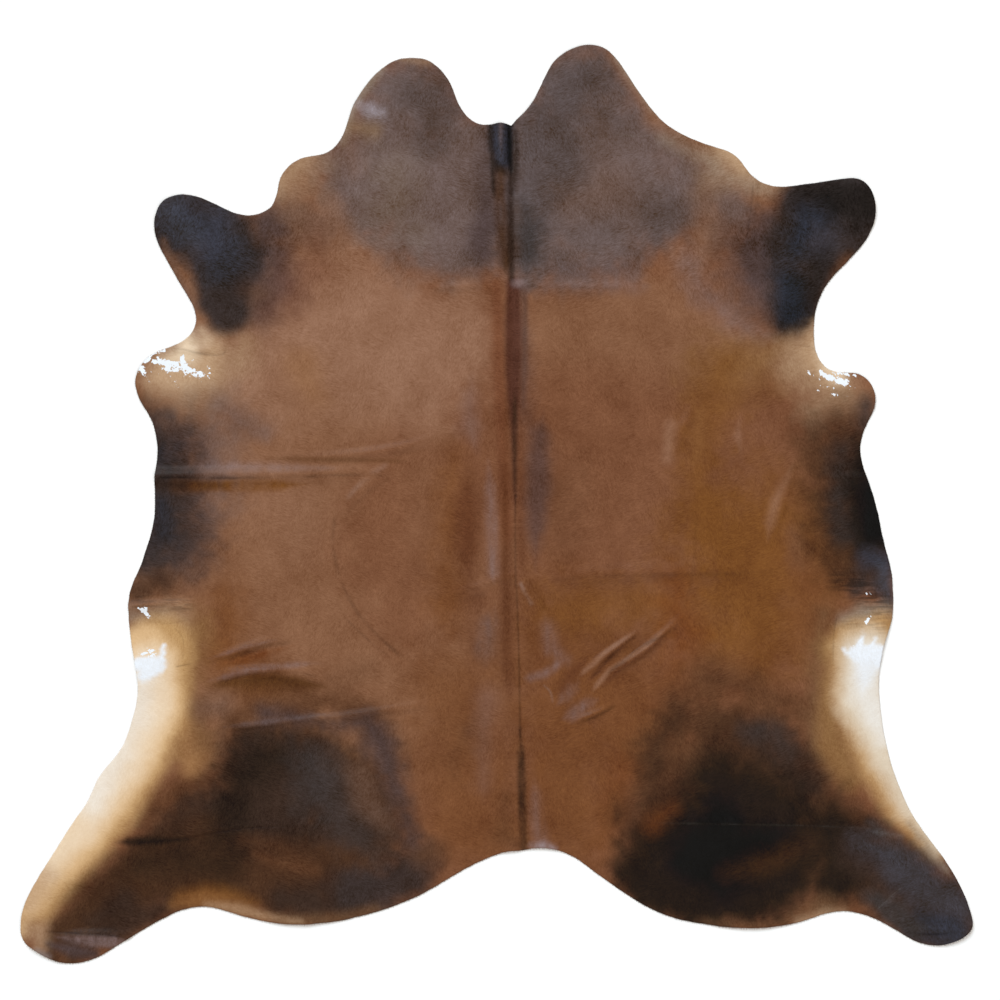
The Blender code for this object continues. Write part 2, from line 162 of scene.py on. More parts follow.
# ---------------------------------------------------------------- small creases of the coat
# A crease presses the hair down, or lifts it where the depth is negative, and paints shade on it:
# depth in mm, reach to each side in mm, shade from -1 (pale, painted highlight) to 1 (black).
CREASES = table("Crease", "name line depth reach shade", (
    ("spine valley, nape", ((29, 832), (28, 790), (31, 735), (33, 690)), 2.6, 11, 0.30),
    ("spine valley, neck", ((33, 690), (31, 640), (33, 560), (33, 478)), 1.2, 10, 0.16),
    ("spine valley, withers", ((36, 470), (38, 300), (40, 180), (42, 30)), 1.4, 14, 0.04),
    ("spine line, withers", ((38, 215), (39, 120), (42, 20)), 0.6, 6, 0.14),
    ("withers, edge line", ((64, 470), (62, 380), (58, 290), (56, 230)), 0.4, 6, 0.18),
    ("spine line, back", ((42, 20), (41, -60), (42, -175)), 0.6, 3.0, 0.34),
    ("spine line, loin", ((44, -180), (49, -330), (52, -510)), 0.8, 3.0, 0.42),
    ("spine groove, rump", ((52, -495), (57, -610), (60, -764)), 2.4, 9, 0.22),
    ("nape, side line", ((38, 820), (39, 775), (36, 730), (30, 706)), -0.2, 2.0, -0.20),
    # painted highlight on the lit side of the kink's ridge
    ("kink, pale line", ((51, -168), (60, -190), (80, -225)), -1.0, 8, -0.22),
    ("kink, hollow", ((62, -165), (95, -205), (108, -240)), 1.0, 13, 0.12),
    ("packing fold, lip", ((-752, 61), (-500, 58), (-330, 64), (-210, 62)), 0.9, 6, 0.26),
    ("left arc, side", ((-355, -20), (-360, -90), (-345, -165)), 0.8, 6, 0.20),
    ("left arc, low line", ((-345, -165), (-308, -235), (-250, -300), (-190, -350)), 1.0, 6, 0.30),
    ("left arc, second line", ((-338, -245), (-290, -292), (-226, -345)), 0.4, 3.0, 0.18),
    ("left arc, rim line", ((-760, 58), (-700, 59), (-620, 57), (-520, 58)), 0.5, 3.0, 0.45),
    # painted highlight on the lit side of the arc
    ("left arc, up stroke", ((-235, 92), (-290, 55), (-335, 5)), -0.8, 10, -0.14),
    ("left arc, up hollow", ((-225, 62), (-285, 22), (-330, -22)), 0.6, 9, 0.10),
    ("left wrinkle, first line",
     ((-640, -350), (-590, -338), (-540, -322), (-500, -312), (-440, -302)), 1.4, 7, 0.24),
    ("left wrinkle, short line", ((-600, -345), (-540, -328), (-490, -306)), 0.8, 6, 0.18),
    ("left wrinkle, main lip",
     ((-640, -399), (-595, -388), (-545, -375), (-480, -369), (-430, -372),
      (-380, -384)), 1.0, 6, 0.26),
    ("left wrinkle, low lip",
     ((-605, -500), (-550, -494), (-490, -488), (-430, -479), (-340, -474)), 1.0, 6, 0.28),
    ("left flank, cut line", ((-806, -226), (-760, -224), (-700, -220)), 0.8, 3.0, 0.40),
    ("left flank, line", ((-770, -258), (-720, -262), (-672, -252)), 0.5, 2.6, 0.24),
    ("left flank, line above", ((-760, -204), (-710, -196), (-660, -205)), 0.5, 2.6, 0.22),
    ("left flank, ring", ((-712, -268), (-690, -296), (-690, -345)), 0.4, 2.4, 0.26),
    ("left flank, tick", ((-708, -358), (-668, -350)), 0.4, 2.4, 0.34),
    ("right flank, ring", ((752, -236), (744, -270), (741, -310), (740, -360)), 0.4, 2.6, 0.30),
    ("right wrinkle, first line",
     ((206, -384), (226, -364), (246, -341), (264, -323), (284, -305), (318, -282)), 1.6, 6, 0.36),
    ("right wrinkle, second line",
     ((236, -386), (256, -362), (280, -346), (304, -322), (334, -304), (368, -289),
      (398, -262)), 1.6, 6, 0.32),
    ("right wrinkle, low line", ((178, -480), (206, -472), (236, -458), (266, -440)), 1.6, 6, 0.32),
    ("right wrinkle, tick", ((100, -395), (118, -412), (124, -440)), -0.4, 3.0, -0.16),
    ("right arc, side", ((402, -250), (424, -190), (436, -100), (440, -20)), 0.6, 5, 0.14),
    ("right chest, fold line", ((404, 120), (412, 155), (440, 190)), 0.8, 9, 0.10),
    ("neck scar", ((258, 817), (300, 810), (345, 811)), -0.4, 2.2, -0.24),
    ("right foreleg crease", ((564, 712), (560, 655), (550, 577)), 0.5, 3.0, 0.42),
    ("left foot lip", ((-995, -938), (-930, -942), (-870, -946), (-816, -952)), 0.8, 3.0, 0.75),
    ("right foot line", ((886, -938), (960, -946), (1030, -936)), 0.5, 2.8, 0.30),
    ("right foot curve", ((834, -894), (860, -870), (874, -856), (894, -841)), -0.3, 2.4, -0.22),
    ("left armpit line",
     ((-722, 342), (-690, 341), (-650, 331), (-612, 328), (-598, 334),
      (-595, 348)), 0.6, 2.6, 0.42),
    ("left armpit line b", ((-690, 392), (-655, 378), (-610, 384)), 0.3, 2.4, 0.14),
    ("right armpit line", ((655, 350), (690, 346), (712, 330)), 0.4, 2.4, 0.20),
    ("shoulder line, left", ((-150, 473), (-90, 470), (-20, 478)), 0.6, 8, 0.14),
    ("shoulder line, right", ((30, 479), (160, 477), (290, 475)), 0.4, 5, 0.16),
    ("rear line, left", ((-826, -749), (-700, -736), (-560, -713), (-440, -706)), 0.5, 3.0, 0.28),
    ("rear line, right",
     ((330, -700), (551, -704), (700, -707), (860, -715), (903, -724)), -0.2, 2.4, -0.06),
    ("middle line, left", ((-100, -202), (-40, -184), (20, -164)), 0.6, 8, 0.12),
    ("middle line, right", ((90, -172), (230, -158), (420, -156), (660, -150)), 0.6, 8, 0.10),
))

# ---------------------------------------------------------------- colours of the coat
TONES = {  # sRGB, as the coat looks lying flat under the studio light
    "fawn": (147, 108, 85),
    "tan": (132, 92, 67),
    "russet": (122, 80, 56),
    "chestnut": (114, 71, 42),
    "ochre": (119, 75, 37),
    "honey": (138, 101, 64),
    "rust": (116, 66, 34),
    "cocoa": (98, 72, 62),
    "amber brown": (138, 94, 56),
    "umber": (94, 62, 42),
    "bark": (70, 47, 33),
    "mole": (105, 86, 80),
    "hazel": (112, 84, 69),
    "slate": (86, 73, 70),
    "dusk": (98, 82, 80),
    # painted sheen: the bluish gloss of hair that slopes towards the key window
    "lilac": (128, 106, 103),
    "sable": (56, 42, 35),
    "smoke": (61, 54, 52),
    "mahogany": (84, 51, 40),
    "brick": (114, 70, 47),
    "sorrel": (99, 59, 38),
    "wine": (90, 65, 57),
    "steel": (66, 65, 71),
    "night": (36, 40, 47),
    "plum": (76, 60, 57),
    "acorn": (106, 76, 53),
    "caramel": (154, 112, 74),
    "soot": (58, 48, 45),
    "ink": (52, 51, 57),
    "pitch": (40, 31, 25),
    "jet": (27, 24, 21),
    "buff": (165, 132, 103),
    "sand": (194, 161, 128),
    "cream": (234, 210, 180),
    "milk": (238, 236, 232),
    "white": (238, 243, 250),
    "frost": (172, 162, 168),
    "amber": (140, 108, 72),
    "gold": (188, 148, 100),
    "wheat": (223, 187, 142),
    "oat": (221, 205, 183),
    "taupe": (116, 97, 86),
    "tobacco": (90, 57, 32),
    "ash": (150, 134, 118),
    "silver": (156, 158, 160),
}

# A patch is a chain of discs (x, y, radius). soft is how wide its border is, and share how much
# of its tone it gives. Later patches lie over earlier ones.
PATCHES = table("Patch", "name tone soft share line", (
    # The trunk
    ("left side", "tan", 260, 1.0, ((-700, 0, 700), (-300, -300, 330))),
    ("left shoulder", "fawn", 200, 0.95, ((-430, 400, 170), (-200, 340, 160), (-130, 290, 50))),
    ("left ribs", "fawn", 160, 0.3, ((-560, 80, 80), (-440, -40, 80))),
    ("left back", "russet", 150, 0.85, ((-230, 90, 60), (-250, -90, 110), (-180, -240, 80))),
    ("left back, chestnut", "chestnut", 90, 0.9,
     ((-90, 110, 16), (-98, -60, 36), (-104, -230, 40))),
    ("left of spine, broad", "sorrel", 70, 0.5,
     ((-40, -190, 14), (-46, -240, 22), (-50, -460, 18))),
    ("left thigh, chestnut", "chestnut", 100, 0.95,
     ((-590, -210, 36), (-600, -330, 60), (-520, -390, 50))),
    ("left wrinkle, broad", "tobacco", 60, 0.8,
     ((-610, -402, 8), (-560, -400, 16), (-490, -404, 20), (-420, -408, 12))),
    ("right shoulder", "tan", 140, 0.9, ((150, 400, 110), (420, 380, 130))),
    ("right ribs", "russet", 240, 0.8, ((250, 100, 200), (450, 0, 200))),
    ("right chest glow", "honey", 150, 0.7, ((610, 330, 50), (500, 300, 60))),
    ("right glow", "ochre", 240, 0.9, ((580, -100, 170), (560, -260, 130))),
    ("right flank, chestnut", "chestnut", 90, 0.85,
     ((645, -40, 0), (650, -130, 20), (690, -190, 40), (690, -270, 40))),
    ("right flank, pale", "tan", 60, 0.5, ((652, -60, 8), (668, -125, 16))),
    ("right loin", "chestnut", 200, 0.9, ((150, -300, 120), (300, -480, 130))),
    ("right loin, ochre", "ochre", 120, 0.6,
     ((110, -215, 30), (190, -225, 50), (330, -215, 50), (440, -220, 40))),
    ("right loin, rust", "rust", 100, 0.8, ((390, -180, 24), (410, -280, 34), (400, -370, 24))),
    ("right loin, low ochre", "rust", 90, 0.7, ((235, -750, 16), (250, -680, 34), (280, -600, 24))),
    # painted sheen along the crest of the flank's streak
    ("right flank, streak", "fawn", 24, 0.45,
     ((660, 112, -8), (640, 60, 5), (614, 10, 10), (602, -40, 10), (594, -90, -8))),
    ("right haunch, upper shade", "umber", 100, 0.5, ((420, -370, 30), (500, -380, 30))),
    ("right ochre chest", "ochre", 100, 0.75,
     ((490, 300, 50), (465, 180, 50), (440, 60, 50), (470, -60, 70))),
    # painted highlight on the lit side of the chest's dent
    ("right chest, dent light", "fawn", 30, 0.7, ((384, 175, 8), (376, 100, 10))),
    ("right chest, dent ochre", "amber brown", 36, 0.6,
     ((452, 200, 8), (446, 140, 14), (440, 96, 6))),
    # painted highlight along the chest's streak
    ("right chest, streak light", "fawn", 20, 0.6, ((536, 200, -6), (530, 150, 6), (540, 100, -6))),
    ("rump, left of tail", "chestnut", 160, 0.75, ((-90, -420, 90), (-60, -680, 110))),
    ("rump, left shade", "umber", 100, 0.45, ((-70, -500, 20), (-90, -560, 20))),
    ("rump, right of tail", "chestnut", 160, 0.9, ((150, -480, 90), (160, -680, 100))),
    ("rump, spine shade", "umber", 60, 0.6, ((14, -640, 10), (12, -730, 18), (50, -750, 10))),
    ("loin shade", "umber", 120, 0.35, ((150, 40, 50), (130, -40, 60))),
    ("right of spine, shade", "wine", 60, 0.5,
     ((62, 380, 8), (66, 200, 12), (100, 90, 24), (82, 0, 12))),
    # The neck
    ("left neck", "mole", 140, 1.0, ((-200, 900, 95), (-230, 760, 134), (-150, 650, 130))),
    ("left neck, outer", "mole", 90, 0.9, ((-300, 720, 70), (-290, 640, 60))),
    ("left neck, inner", "mole", 90, 1.0, ((-60, 780, 90), (-60, 580, 78))),
    ("left neck, light", "taupe", 110, 0.75, ((-215, 740, 40), (-230, 640, 50), (-180, 590, 10))),
    ("right neck", "mole", 140, 1.0, ((200, 920, 115), (240, 770, 160), (190, 625, 126))),
    ("right neck, outer", "mole", 110, 1.0, ((240, 650, 120), (350, 670, 96), (420, 720, 66))),
    ("right neck, inner", "mole", 90, 1.0, ((60, 780, 70), (80, 560, 78))),
    ("right neck, mauve", "slate", 120, 0.5, ((180, 700, 50), (130, 600, 30), (230, 600, 30))),
    ("right neck, brown", "hazel", 110, 0.5, ((230, 700, 40), (160, 660, 30))),
    ("neck to shoulder, right", "hazel", 90, 0.9, ((470, 660, 50), (480, 580, 40))),
    ("neck to shoulder, fawn left", "fawn", 80, 0.85,
     ((-362, 650, 8), (-350, 590, 18), (-335, 545, 26), (-320, 510, 16))),
    ("neck to shoulder, fawn right", "fawn", 80, 0.7,
     ((400, 550, 20), (440, 520, 24), (450, 590, 10))),
    # painted sheen on the shoulder
    ("right shoulder, bloom", "lilac", 80, 0.6,
     ((420, 540, 16), (460, 460, 18), (520, 405, 16), (590, 380, 4))),
    ("neck by spine, broad", "slate", 90, 0.9,
     ((66, 845, 40), (70, 740, 50), (70, 640, 54), (66, 560, 50), (66, 520, 20))),
    ("left lobe shade", "slate", 90, 0.75, ((-190, 900, 44), (-130, 890, 60), (-150, 800, 34))),
    ("right lobe shade", "slate", 100, 0.95, ((205, 940, 50), (140, 890, 64), (130, 740, 50))),
    ("right lobe, middle", "slate", 80, 0.6, ((240, 860, 30), (270, 840, 20))),
    ("right neck shade", "slate", 80, 0.7, ((370, 640, 50), (350, 590, 30))),
    ("right neck, low edge", "dusk", 70, 0.6, ((120, 516, 14), (200, 505, 20), (290, 520, 20))),
    # painted sheen at the border of the neck
    ("neck border, lilac", "lilac", 50, 0.35, ((110, 478, 14), (300, 480, 14))),
    ("neck by spine, left", "plum", 60, 0.75,
     ((-20, 820, 12), (-20, 740, 18), (-22, 660, 28), (-35, 560, 30))),
    ("right ledge, broad", "buff", 100, 0.45, ((500, 740, 50), (560, 690, 30))),
    ("right ledge", "buff", 50, 0.9,
     ((450, 800, 10), (505, 772, 24), (540, 735, 22), (585, 708, 14), (640, 704, 4))),
    ("right ledge, rim", "sand", 30, 0.8, ((478, 800, 8), (512, 782, 12), (545, 744, 14))),
    ("left ledge, broad", "buff", 90, 0.4, ((-450, 690, 40), (-390, 745, 20))),
    ("left ledge", "buff", 44, 0.9, ((-480, 680, 14), (-466, 725, 22), (-415, 762, 8))),
    ("left lobe, tan rim", "ash", 24, 0.7, ((-338, 796, 6), (-314, 880, 7), (-255, 962, 8))),
    ("left lobe, top rim", "buff", 22, 0.5, ((-210, 982, 5), (-150, 972, 6))),
    ("right lobe, tan rim", "tan", 36, 0.8, ((252, 990, 10), (300, 930, 12), (350, 862, 14))),
    ("right lobe, pale rim", "ash", 20, 0.7,
     ((262, 984, 4), (300, 934, 5), (350, 862, 5), (420, 806, 5))),
    ("right rim, below the lobe", "tan", 50, 0.7, ((350, 850, 20), (450, 790, 24))),
    ("left lobe, frost", "frost", 26, 0.5, ((-302, 880, 6), (-278, 866, 14), (-252, 858, 8))),
    ("left lobe, low tan", "fawn", 70, 0.25, ((-320, 790, 26), (-310, 740, 14))),
    ("left lobe, amber", "amber", 44, 0.5, ((-318, 830, 12), (-270, 822, 14))),
    # The forelegs
    ("left shoulder blade", "hazel", 90, 0.9, ((-480, 640, 40), (-400, 610, 50))),
    ("left foreleg, halo", "wine", 80, 0.95, ((-480, 590, 10), (-478, 480, 56), (-520, 412, 32))),
    ("left foreleg, brick", "brick", 90, 0.5, ((-395, 600, 14), (-405, 520, 40), (-455, 440, 26))),
    ("left foreleg, brown", "plum", 70, 0.9, ((-512, 620, 36), (-518, 560, 32), (-538, 490, 30))),
    ("left foreleg", "soot", 50, 1.0, ((-700, 625, 82), (-620, 590, 86), (-580, 540, 66))),
    ("left foreleg, low", "soot", 40, 1.0, ((-605, 520, 70), (-600, 460, 62), (-586, 420, 50))),
    ("left foreleg, cool", "ink", 90, 0.85, ((-700, 620, 50), (-630, 600, 60), (-600, 530, 50))),
    ("left foreleg, pale cool", "steel", 70, 0.6,
     ((-720, 640, 24), (-700, 615, 24), (-670, 592, 22))),
    ("left foreleg, brown end", "bark", 60, 0.6, ((-550, 470, 24), (-510, 462, 20))),
    ("left foreleg, tan rim", "hazel", 24, 0.9,
     ((-733, 580, 4), (-712, 520, 7), (-684, 470, 7), (-664, 432, 6))),
    ("right shoulder blade", "cocoa", 90, 0.7, ((540, 600, 50), (520, 500, 50))),
    ("right shoulder, grey", "mole", 70, 0.8, ((520, 655, 36), (540, 615, 16))),
    ("right foreleg, halo", "cocoa", 80, 0.85, ((595, 620, 30), (584, 520, 50), (584, 450, 54))),
    ("right foreleg, brown", "plum", 70, 0.9,
     ((590, 620, 16), (570, 560, 36), (572, 500, 42), (602, 440, 26))),
    ("right foreleg", "soot", 44, 1.0, ((800, 640, 100), (705, 650, 92), (672, 570, 76))),
    ("right foreleg, low", "soot", 46, 1.0, ((680, 560, 84), (660, 470, 66), (652, 418, 54))),
    ("right foreleg, cool", "ink", 70, 0.45, ((700, 600, 50), (640, 540, 40), (640, 440, 30))),
    ("right foreleg, night", "night", 60, 0.6, ((700, 640, 30), (680, 640, 30), (660, 560, 20))),
    ("right foreleg, black", "jet", 70, 0.75, ((670, 690, 24), (730, 680, 40), (800, 660, 60))),
    ("right foreleg, black end", "jet", 56, 0.45, ((720, 540, 26), (690, 440, 26), (655, 412, 26))),
    ("right foreleg, rust rim", "bark", 24, 0.8, ((778, 552, 6), (742, 512, 6))),
    # The chest
    ("left chest, broad", "buff", 110, 0.9, ((-600, 300, 70), (-670, 250, 50))),
    ("left chest, outer glow", "fawn", 120, 0.9, ((-560, 330, 50), (-540, 220, 50))),
    ("left chest, warm", "buff", 70, 0.8, ((-552, 352, 14), (-565, 315, 26))),
    ("left chest, sand", "sand", 70, 0.85, ((-625, 335, 22), (-640, 295, 36), (-740, 280, 32))),
    ("left chest, cream", "cream", 46, 0.9, ((-682, 366, 12), (-682, 332, 24), (-716, 316, 12))),
    ("left armpit, cream", "cream", 30, 0.25, ((-652, 388, 4), (-640, 362, 12))),
    ("left chest, low rim", "umber", 50, 0.6, ((-780, 232, 12), (-764, 200, 18), (-720, 205, 4))),
    ("left chest, mauve", "dusk", 60, 0.5, ((-615, 225, 14), (-565, 185, 30), (-510, 160, 16))),
    ("left chest, warm edge", "amber brown", 80, 0.45, ((-430, 300, 40), (-400, 240, 20))),
    ("left foreleg, end", "soot", 36, 0.95, ((-620, 450, 30), (-594, 420, 44))),
    ("right chest, broad", "buff", 100, 0.9, ((685, 305, 54), (750, 250, 50), (700, 210, 20))),
    ("right chest, outer glow", "buff", 70, 0.9, ((668, 345, 20), (640, 310, 20))),
    ("right chest, sand", "sand", 60, 0.8, ((698, 345, 22), (712, 312, 28), (740, 280, 20))),
    ("right chest, cream", "cream", 40, 0.9, ((712, 345, 8), (728, 300, 14), (752, 286, 18))),
    ("right armpit, pale", "sand", 30, 0.7, ((700, 400, 2), (692, 372, 12))),
    ("right foreleg, tip", "night", 44, 0.7, ((650, 480, 30), (648, 420, 30))),
    ("right chest, ochre", "chestnut", 90, 0.6, ((600, 255, 24), (560, 230, 16))),
    ("right chest, rim", "smoke", 50, 0.9, ((814, 218, 18), (806, 175, 22))),
    ("right shoulder, ashen rim", "ash", 50, 0.4,
     ((370, 805, 8), (470, 758, 14), (515, 715, 18), (600, 688, 8))),
    # The belly
    ("left belly, halo", "mole", 150, 0.6, ((-630, 190, 40), (-620, 120, 60), (-620, 0, 40))),
    ("left belly, brown", "plum", 110, 0.75, ((-700, 150, 48), (-684, 60, 60), (-690, -90, 60))),
    ("left belly", "soot", 110, 1.0,
     ((-745, 160, 40), (-740, 60, 70), (-738, -60, 74), (-775, -130, 46))),
    ("left belly, cool", "night", 60, 0.5, ((-735, 110, 20), (-705, 118, 20))),
    ("left belly, low cool", "night", 60, 0.6, ((-735, 0, 20), (-732, -60, 20))),
    ("left belly, foot", "bark", 50, 0.7, ((-790, -190, 22), (-735, -170, 26))),
    ("right belly, halo", "bark", 130, 0.85, ((750, 150, 70), (740, 40, 66), (760, -90, 60))),
    ("right belly, front shade", "bark", 100, 0.4, ((668, 130, 30), (700, 110, 40))),
    ("right belly", "pitch", 80, 1.0,
     ((810, 130, 40), (806, 50, 66), (816, -40, 74), (840, -110, 50))),
    ("right belly, black", "jet", 60, 0.9, ((822, 30, 30), (832, -50, 40))),
    ("right belly, cool halo", "smoke", 60, 0.6, ((755, 120, 20), (752, 20, 16), (762, -60, 20))),
    ("right belly, low", "bark", 60, 0.9, ((770, -150, 26), (840, -150, 36))),
    ("right belly, low black", "soot", 50, 0.8, ((812, -130, 20), (800, -175, 16))),
    ("right belly, foot", "ink", 44, 0.9, ((815, -115, 18), (850, -126, 18))),
    ("right belly, grey", "slate", 40, 0.5, ((790, -190, 10), (825, -182, 14))),
    ("right belly, sheen", "steel", 40, 0.9, ((850, -140, 12), (854, -175, 20), (866, -210, 16))),
    # The left flank
    ("left flank, brown", "honey", 80, 0.8, ((-672, -280, 40), (-680, -420, 20), (-670, -540, 40))),
    ("left thigh, brown", "umber", 60, 0.9, ((-640, -610, 20), (-700, -630, 30), (-775, -690, 26))),
    ("left thigh, caramel", "caramel", 50, 0.9,
     ((-696, -460, 14), (-672, -540, 24), (-675, -580, 16))),
    ("left flank, buff", "buff", 60, 0.9, ((-750, -242, 22), (-705, -250, 26))),
    ("left flank, ash", "ash", 50, 0.6, ((-800, -245, 14), (-740, -248, 12))),
    ("left flank, gold", "gold", 50, 1.0,
     ((-742, -318, 72), (-742, -440, 68), (-796, -560, 65), (-861, -675, 65), (-958, -808, 47),
      (-1010, -880, 31))),
    ("left flank, wheat", "wheat", 36, 0.9,
     ((-775, -300, 40), (-754, -345, 54), (-748, -440, 56), (-802, -565, 48), (-870, -672, 48),
      (-964, -806, 34), (-1014, -880, 18))),
    ("left flank, gold end", "gold", 60, 0.5, ((-980, -840, 40), (-1020, -890, 40))),
    ("left flank, cream", "cream", 50, 1.0,
     ((-768, -362, 52), (-774, -440, 58), (-828, -570, 50), (-894, -682, 40), (-988, -800, 24))),
    ("left flank, cream end", "sand", 44, 0.8, ((-1000, -820, 30), (-1030, -880, 20))),
    ("left flank, milk", "milk", 60, 0.5, ((-785, -390, 30), (-800, -450, 36), (-890, -650, 34))),
    ("left flank, white", "white", 10, 1.0, ((-784, -352, 16), (-748, -354, 20), (-776, -376, 14))),
    ("left flank, white spike", "white", 6, 1.0, ((-738, -345, 9), (-731, -310, 3))),
    # The right flank
    ("right flank, brown", "acorn", 80, 0.8,
     ((725, -240, 10), (700, -390, 16), (690, -470, 30), (720, -600, 30))),
    ("right thigh, honey", "honey", 50, 0.95,
     ((724, -300, 10), (722, -400, 10), (735, -530, 36), (780, -600, 28))),
    ("right thigh, brown", "bark", 50, 0.9, ((716, -640, 26), (762, -670, 26), (830, -706, 18))),
    ("right flank, buff", "ash", 44, 0.9, ((772, -256, 14), (812, -240, 18), (860, -236, 16))),
    ("right flank, gold", "gold", 44, 1.0,
     ((850, -275, 34), (798, -318, 64), (802, -420, 67), (850, -545, 60), (902, -664, 48),
      (962, -765, 16))),
    ("right flank, cream", "oat", 52, 1.0,
     ((815, -332, 58), (812, -430, 62), (872, -540, 52), (924, -662, 41), (968, -760, 4))),
    ("right flank, milk", "milk", 50, 0.7, ((810, -330, 32), (812, -420, 32), (850, -510, 16))),
    ("right flank, white", "white", 9, 1.0, ((778, -316, 3), (800, -330, 20), (842, -334, 24))),
    ("right flank, white low", "white", 34, 0.8,
     ((815, -345, 30), (808, -380, 18), (802, -420, -6))),
    ("right flank, white top", "white", 6, 1.0, ((797, -315, 9), (804, -292, 4), (808, -276, 0))),
    ("right flank, white side", "white", 6, 1.0, ((780, -330, 8), (764, -320, 2), (754, -312, 0))),
    ("right flank, white notch", "white", 6, 1.0, ((822, -318, 8), (832, -300, 3), (836, -290, 0))),
    # The left haunch
    ("left haunch, brown", "bark", 80, 0.95,
     ((-560, -516, 44), (-460, -520, 50), (-450, -590, 125), (-360, -690, 160), (-390, -750, 170),
      (-650, -770, 120))),
    ("left haunch", "sable", 90, 0.9,
     ((-560, -560, 44), (-480, -650, 112), (-630, -700, 66), (-740, -740, 36))),
    ("left haunch, top shade", "sable", 70, 0.85,
     ((-540, -530, 14), (-450, -524, 24), (-400, -540, 14))),
    ("left leg", "bark", 60, 1.0,
     ((-650, -780, 94), (-760, -800, 78), (-860, -876, 62), (-940, -940, 46))),
    ("left foot, brown", "bark", 40, 0.9, ((-900, -930, 50), (-950, -970, 50))),
    ("left haunch, black", "pitch", 80, 0.75,
     ((-480, -560, 34), (-570, -610, 50), (-580, -720, 50))),
    ("left haunch, low black", "pitch", 90, 0.6,
     ((-600, -800, 50), (-700, -770, 40), (-790, -790, 30))),
    ("left haunch, cool", "smoke", 90, 0.7, ((-400, -560, 40), (-370, -650, 60), (-290, -730, 50))),
    ("left haunch, window", "hazel", 60, 0.6,
     ((-300, -600, 24), (-290, -650, 32), (-250, -700, 18))),
    ("left haunch, strip", "ink", 50, 0.5, ((-240, -540, 8), (-232, -620, 16))),
    ("left haunch, low", "soot", 70, 0.95,
     ((-165, -780, 40), (-190, -815, 50), (-250, -845, 50), (-320, -855, 56))),
    ("left haunch, low left", "sable", 60, 0.9, ((-470, -868, 30), (-400, -872, 36))),
    ("left haunch, rim shade", "umber", 60, 0.7, ((-130, -760, 20), (-160, -770, 26))),
    ("left haunch, right shade", "plum", 60, 0.75,
     ((-232, -555, 22), (-215, -640, 20), (-190, -730, 14))),
    ("left haunch, blotch", "umber", 36, 0.9,
     ((-530, -772, 4), (-480, -792, 12), (-400, -806, 12))),
    ("left haunch, ochre brown", "umber", 50, 0.6,
     ((-560, -740, 8), (-480, -755, 16), (-430, -790, 12))),
    ("left haunch, top", "hazel", 60, 0.8, ((-650, -450, 20), (-600, -440, 22))),
    ("left haunch, tan shade", "umber", 60, 0.45, ((-640, -430, 14), (-650, -520, 22))),
    ("left haunch, upper shade", "umber", 60, 0.95,
     ((-580, -472, 12), (-520, -448, 24), (-430, -452, 30), (-370, -428, 14), (-280, -470, 34),
      (-230, -535, 26))),
    ("left haunch, upper mauve", "plum", 60, 0.9,
     ((-510, -462, 16), (-450, -466, 14), (-390, -478, -2), (-285, -484, 24), (-256, -525, 36),
      (-240, -566, 20))),
    ("left wrinkle, end shade", "umber", 60, 0.35, ((-290, -360, 20), (-350, -395, 28))),
    ("left leg, brown", "bark", 70, 0.4, ((-930, -880, 30), (-800, -870, 30))),
    ("left leg, lower rim", "sable", 50, 0.9,
     ((-700, -875, 16), (-780, -912, 30), (-850, -945, 30))),
    ("left leg, dark", "sable", 50, 0.85, ((-890, -915, 16), (-820, -870, 24))),
    ("left leg, short line", "pitch", 16, 0.9,
     ((-844, -744, -5), (-810, -742, 9), (-750, -740, 8), (-690, -738, 3), (-630, -736, -6))),
    ("left rump rim", "acorn", 34, 0.8, ((-470, -918, 8), (-330, -908, 10), (-270, -892, 6))),
    ("left rump, ochre", "ochre", 50, 0.8,
     ((-700, -862, 6), (-640, -852, 16), (-580, -862, 12), (-530, -880, 4))),
    ("left rump, tan", "amber brown", 44, 0.95,
     ((-710, -880, 6), (-645, -870, 16), (-575, -886, 14), (-510, -908, 4))),
    ("left rump, tan rim", "buff", 24, 0.85,
     ((-640, -880, 3), (-570, -890, 9), (-500, -908, 6), (-430, -918, 2))),
    ("left foot, toe", "buff", 44, 0.8, ((-1036, -935, 20), (-1010, -930, 16), (-1000, -965, 12))),
    ("left foot, pale toe", "wheat", 40, 0.7, ((-1046, -905, 10), (-1048, -935, 10))),
    ("left foot, sheen", "lilac", 16, 0.9,
     ((-972, -950, -2), (-930, -957, 8), (-885, -962, 11), (-840, -962, 12), (-812, -958, -2))),
    ("left foot, sole", "plum", 24, 0.95, ((-985, -966, 4), (-930, -982, 14), (-886, -990, 12))),
    ("left foot, tip", "silver", 22, 0.4, ((-1010, -985, 6), (-985, -994, 3))),
    # The right haunch
    ("right haunch, brown", "bark", 110, 0.95,
     ((480, -500, 60), (580, -500, 60), (500, -620, 140), (470, -740, 200), (660, -740, 140),
      (800, -800, 90))),
    ("right haunch, shoulder", "sable", 60, 0.85,
     ((570, -510, 30), (650, -560, 44), (680, -610, 40))),
    ("right haunch", "pitch", 100, 1.0,
     ((480, -604, 56), (650, -684, 40), (560, -700, 126), (424, -790, 132), (560, -820, 114),
      (740, -712, 56), (755, -810, 66))),
    ("right haunch, black", "jet", 90, 0.9, ((500, -690, 56), (450, -800, 90), (590, -760, 60))),
    ("right haunch, cool", "smoke", 60, 0.5, ((560, -500, 20), (610, -500, 26), (640, -540, 24))),
    ("right haunch, top", "umber", 90, 0.75, ((410, -450, 44), (400, -530, 34), (360, -560, 22))),
    ("right haunch, upper left", "umber", 90, 0.95,
     ((470, -385, 32), (560, -405, 26), (640, -430, 30))),
    ("right haunch, left", "bark", 76, 0.95, ((400, -470, 28), (350, -525, 38), (358, -600, 28))),
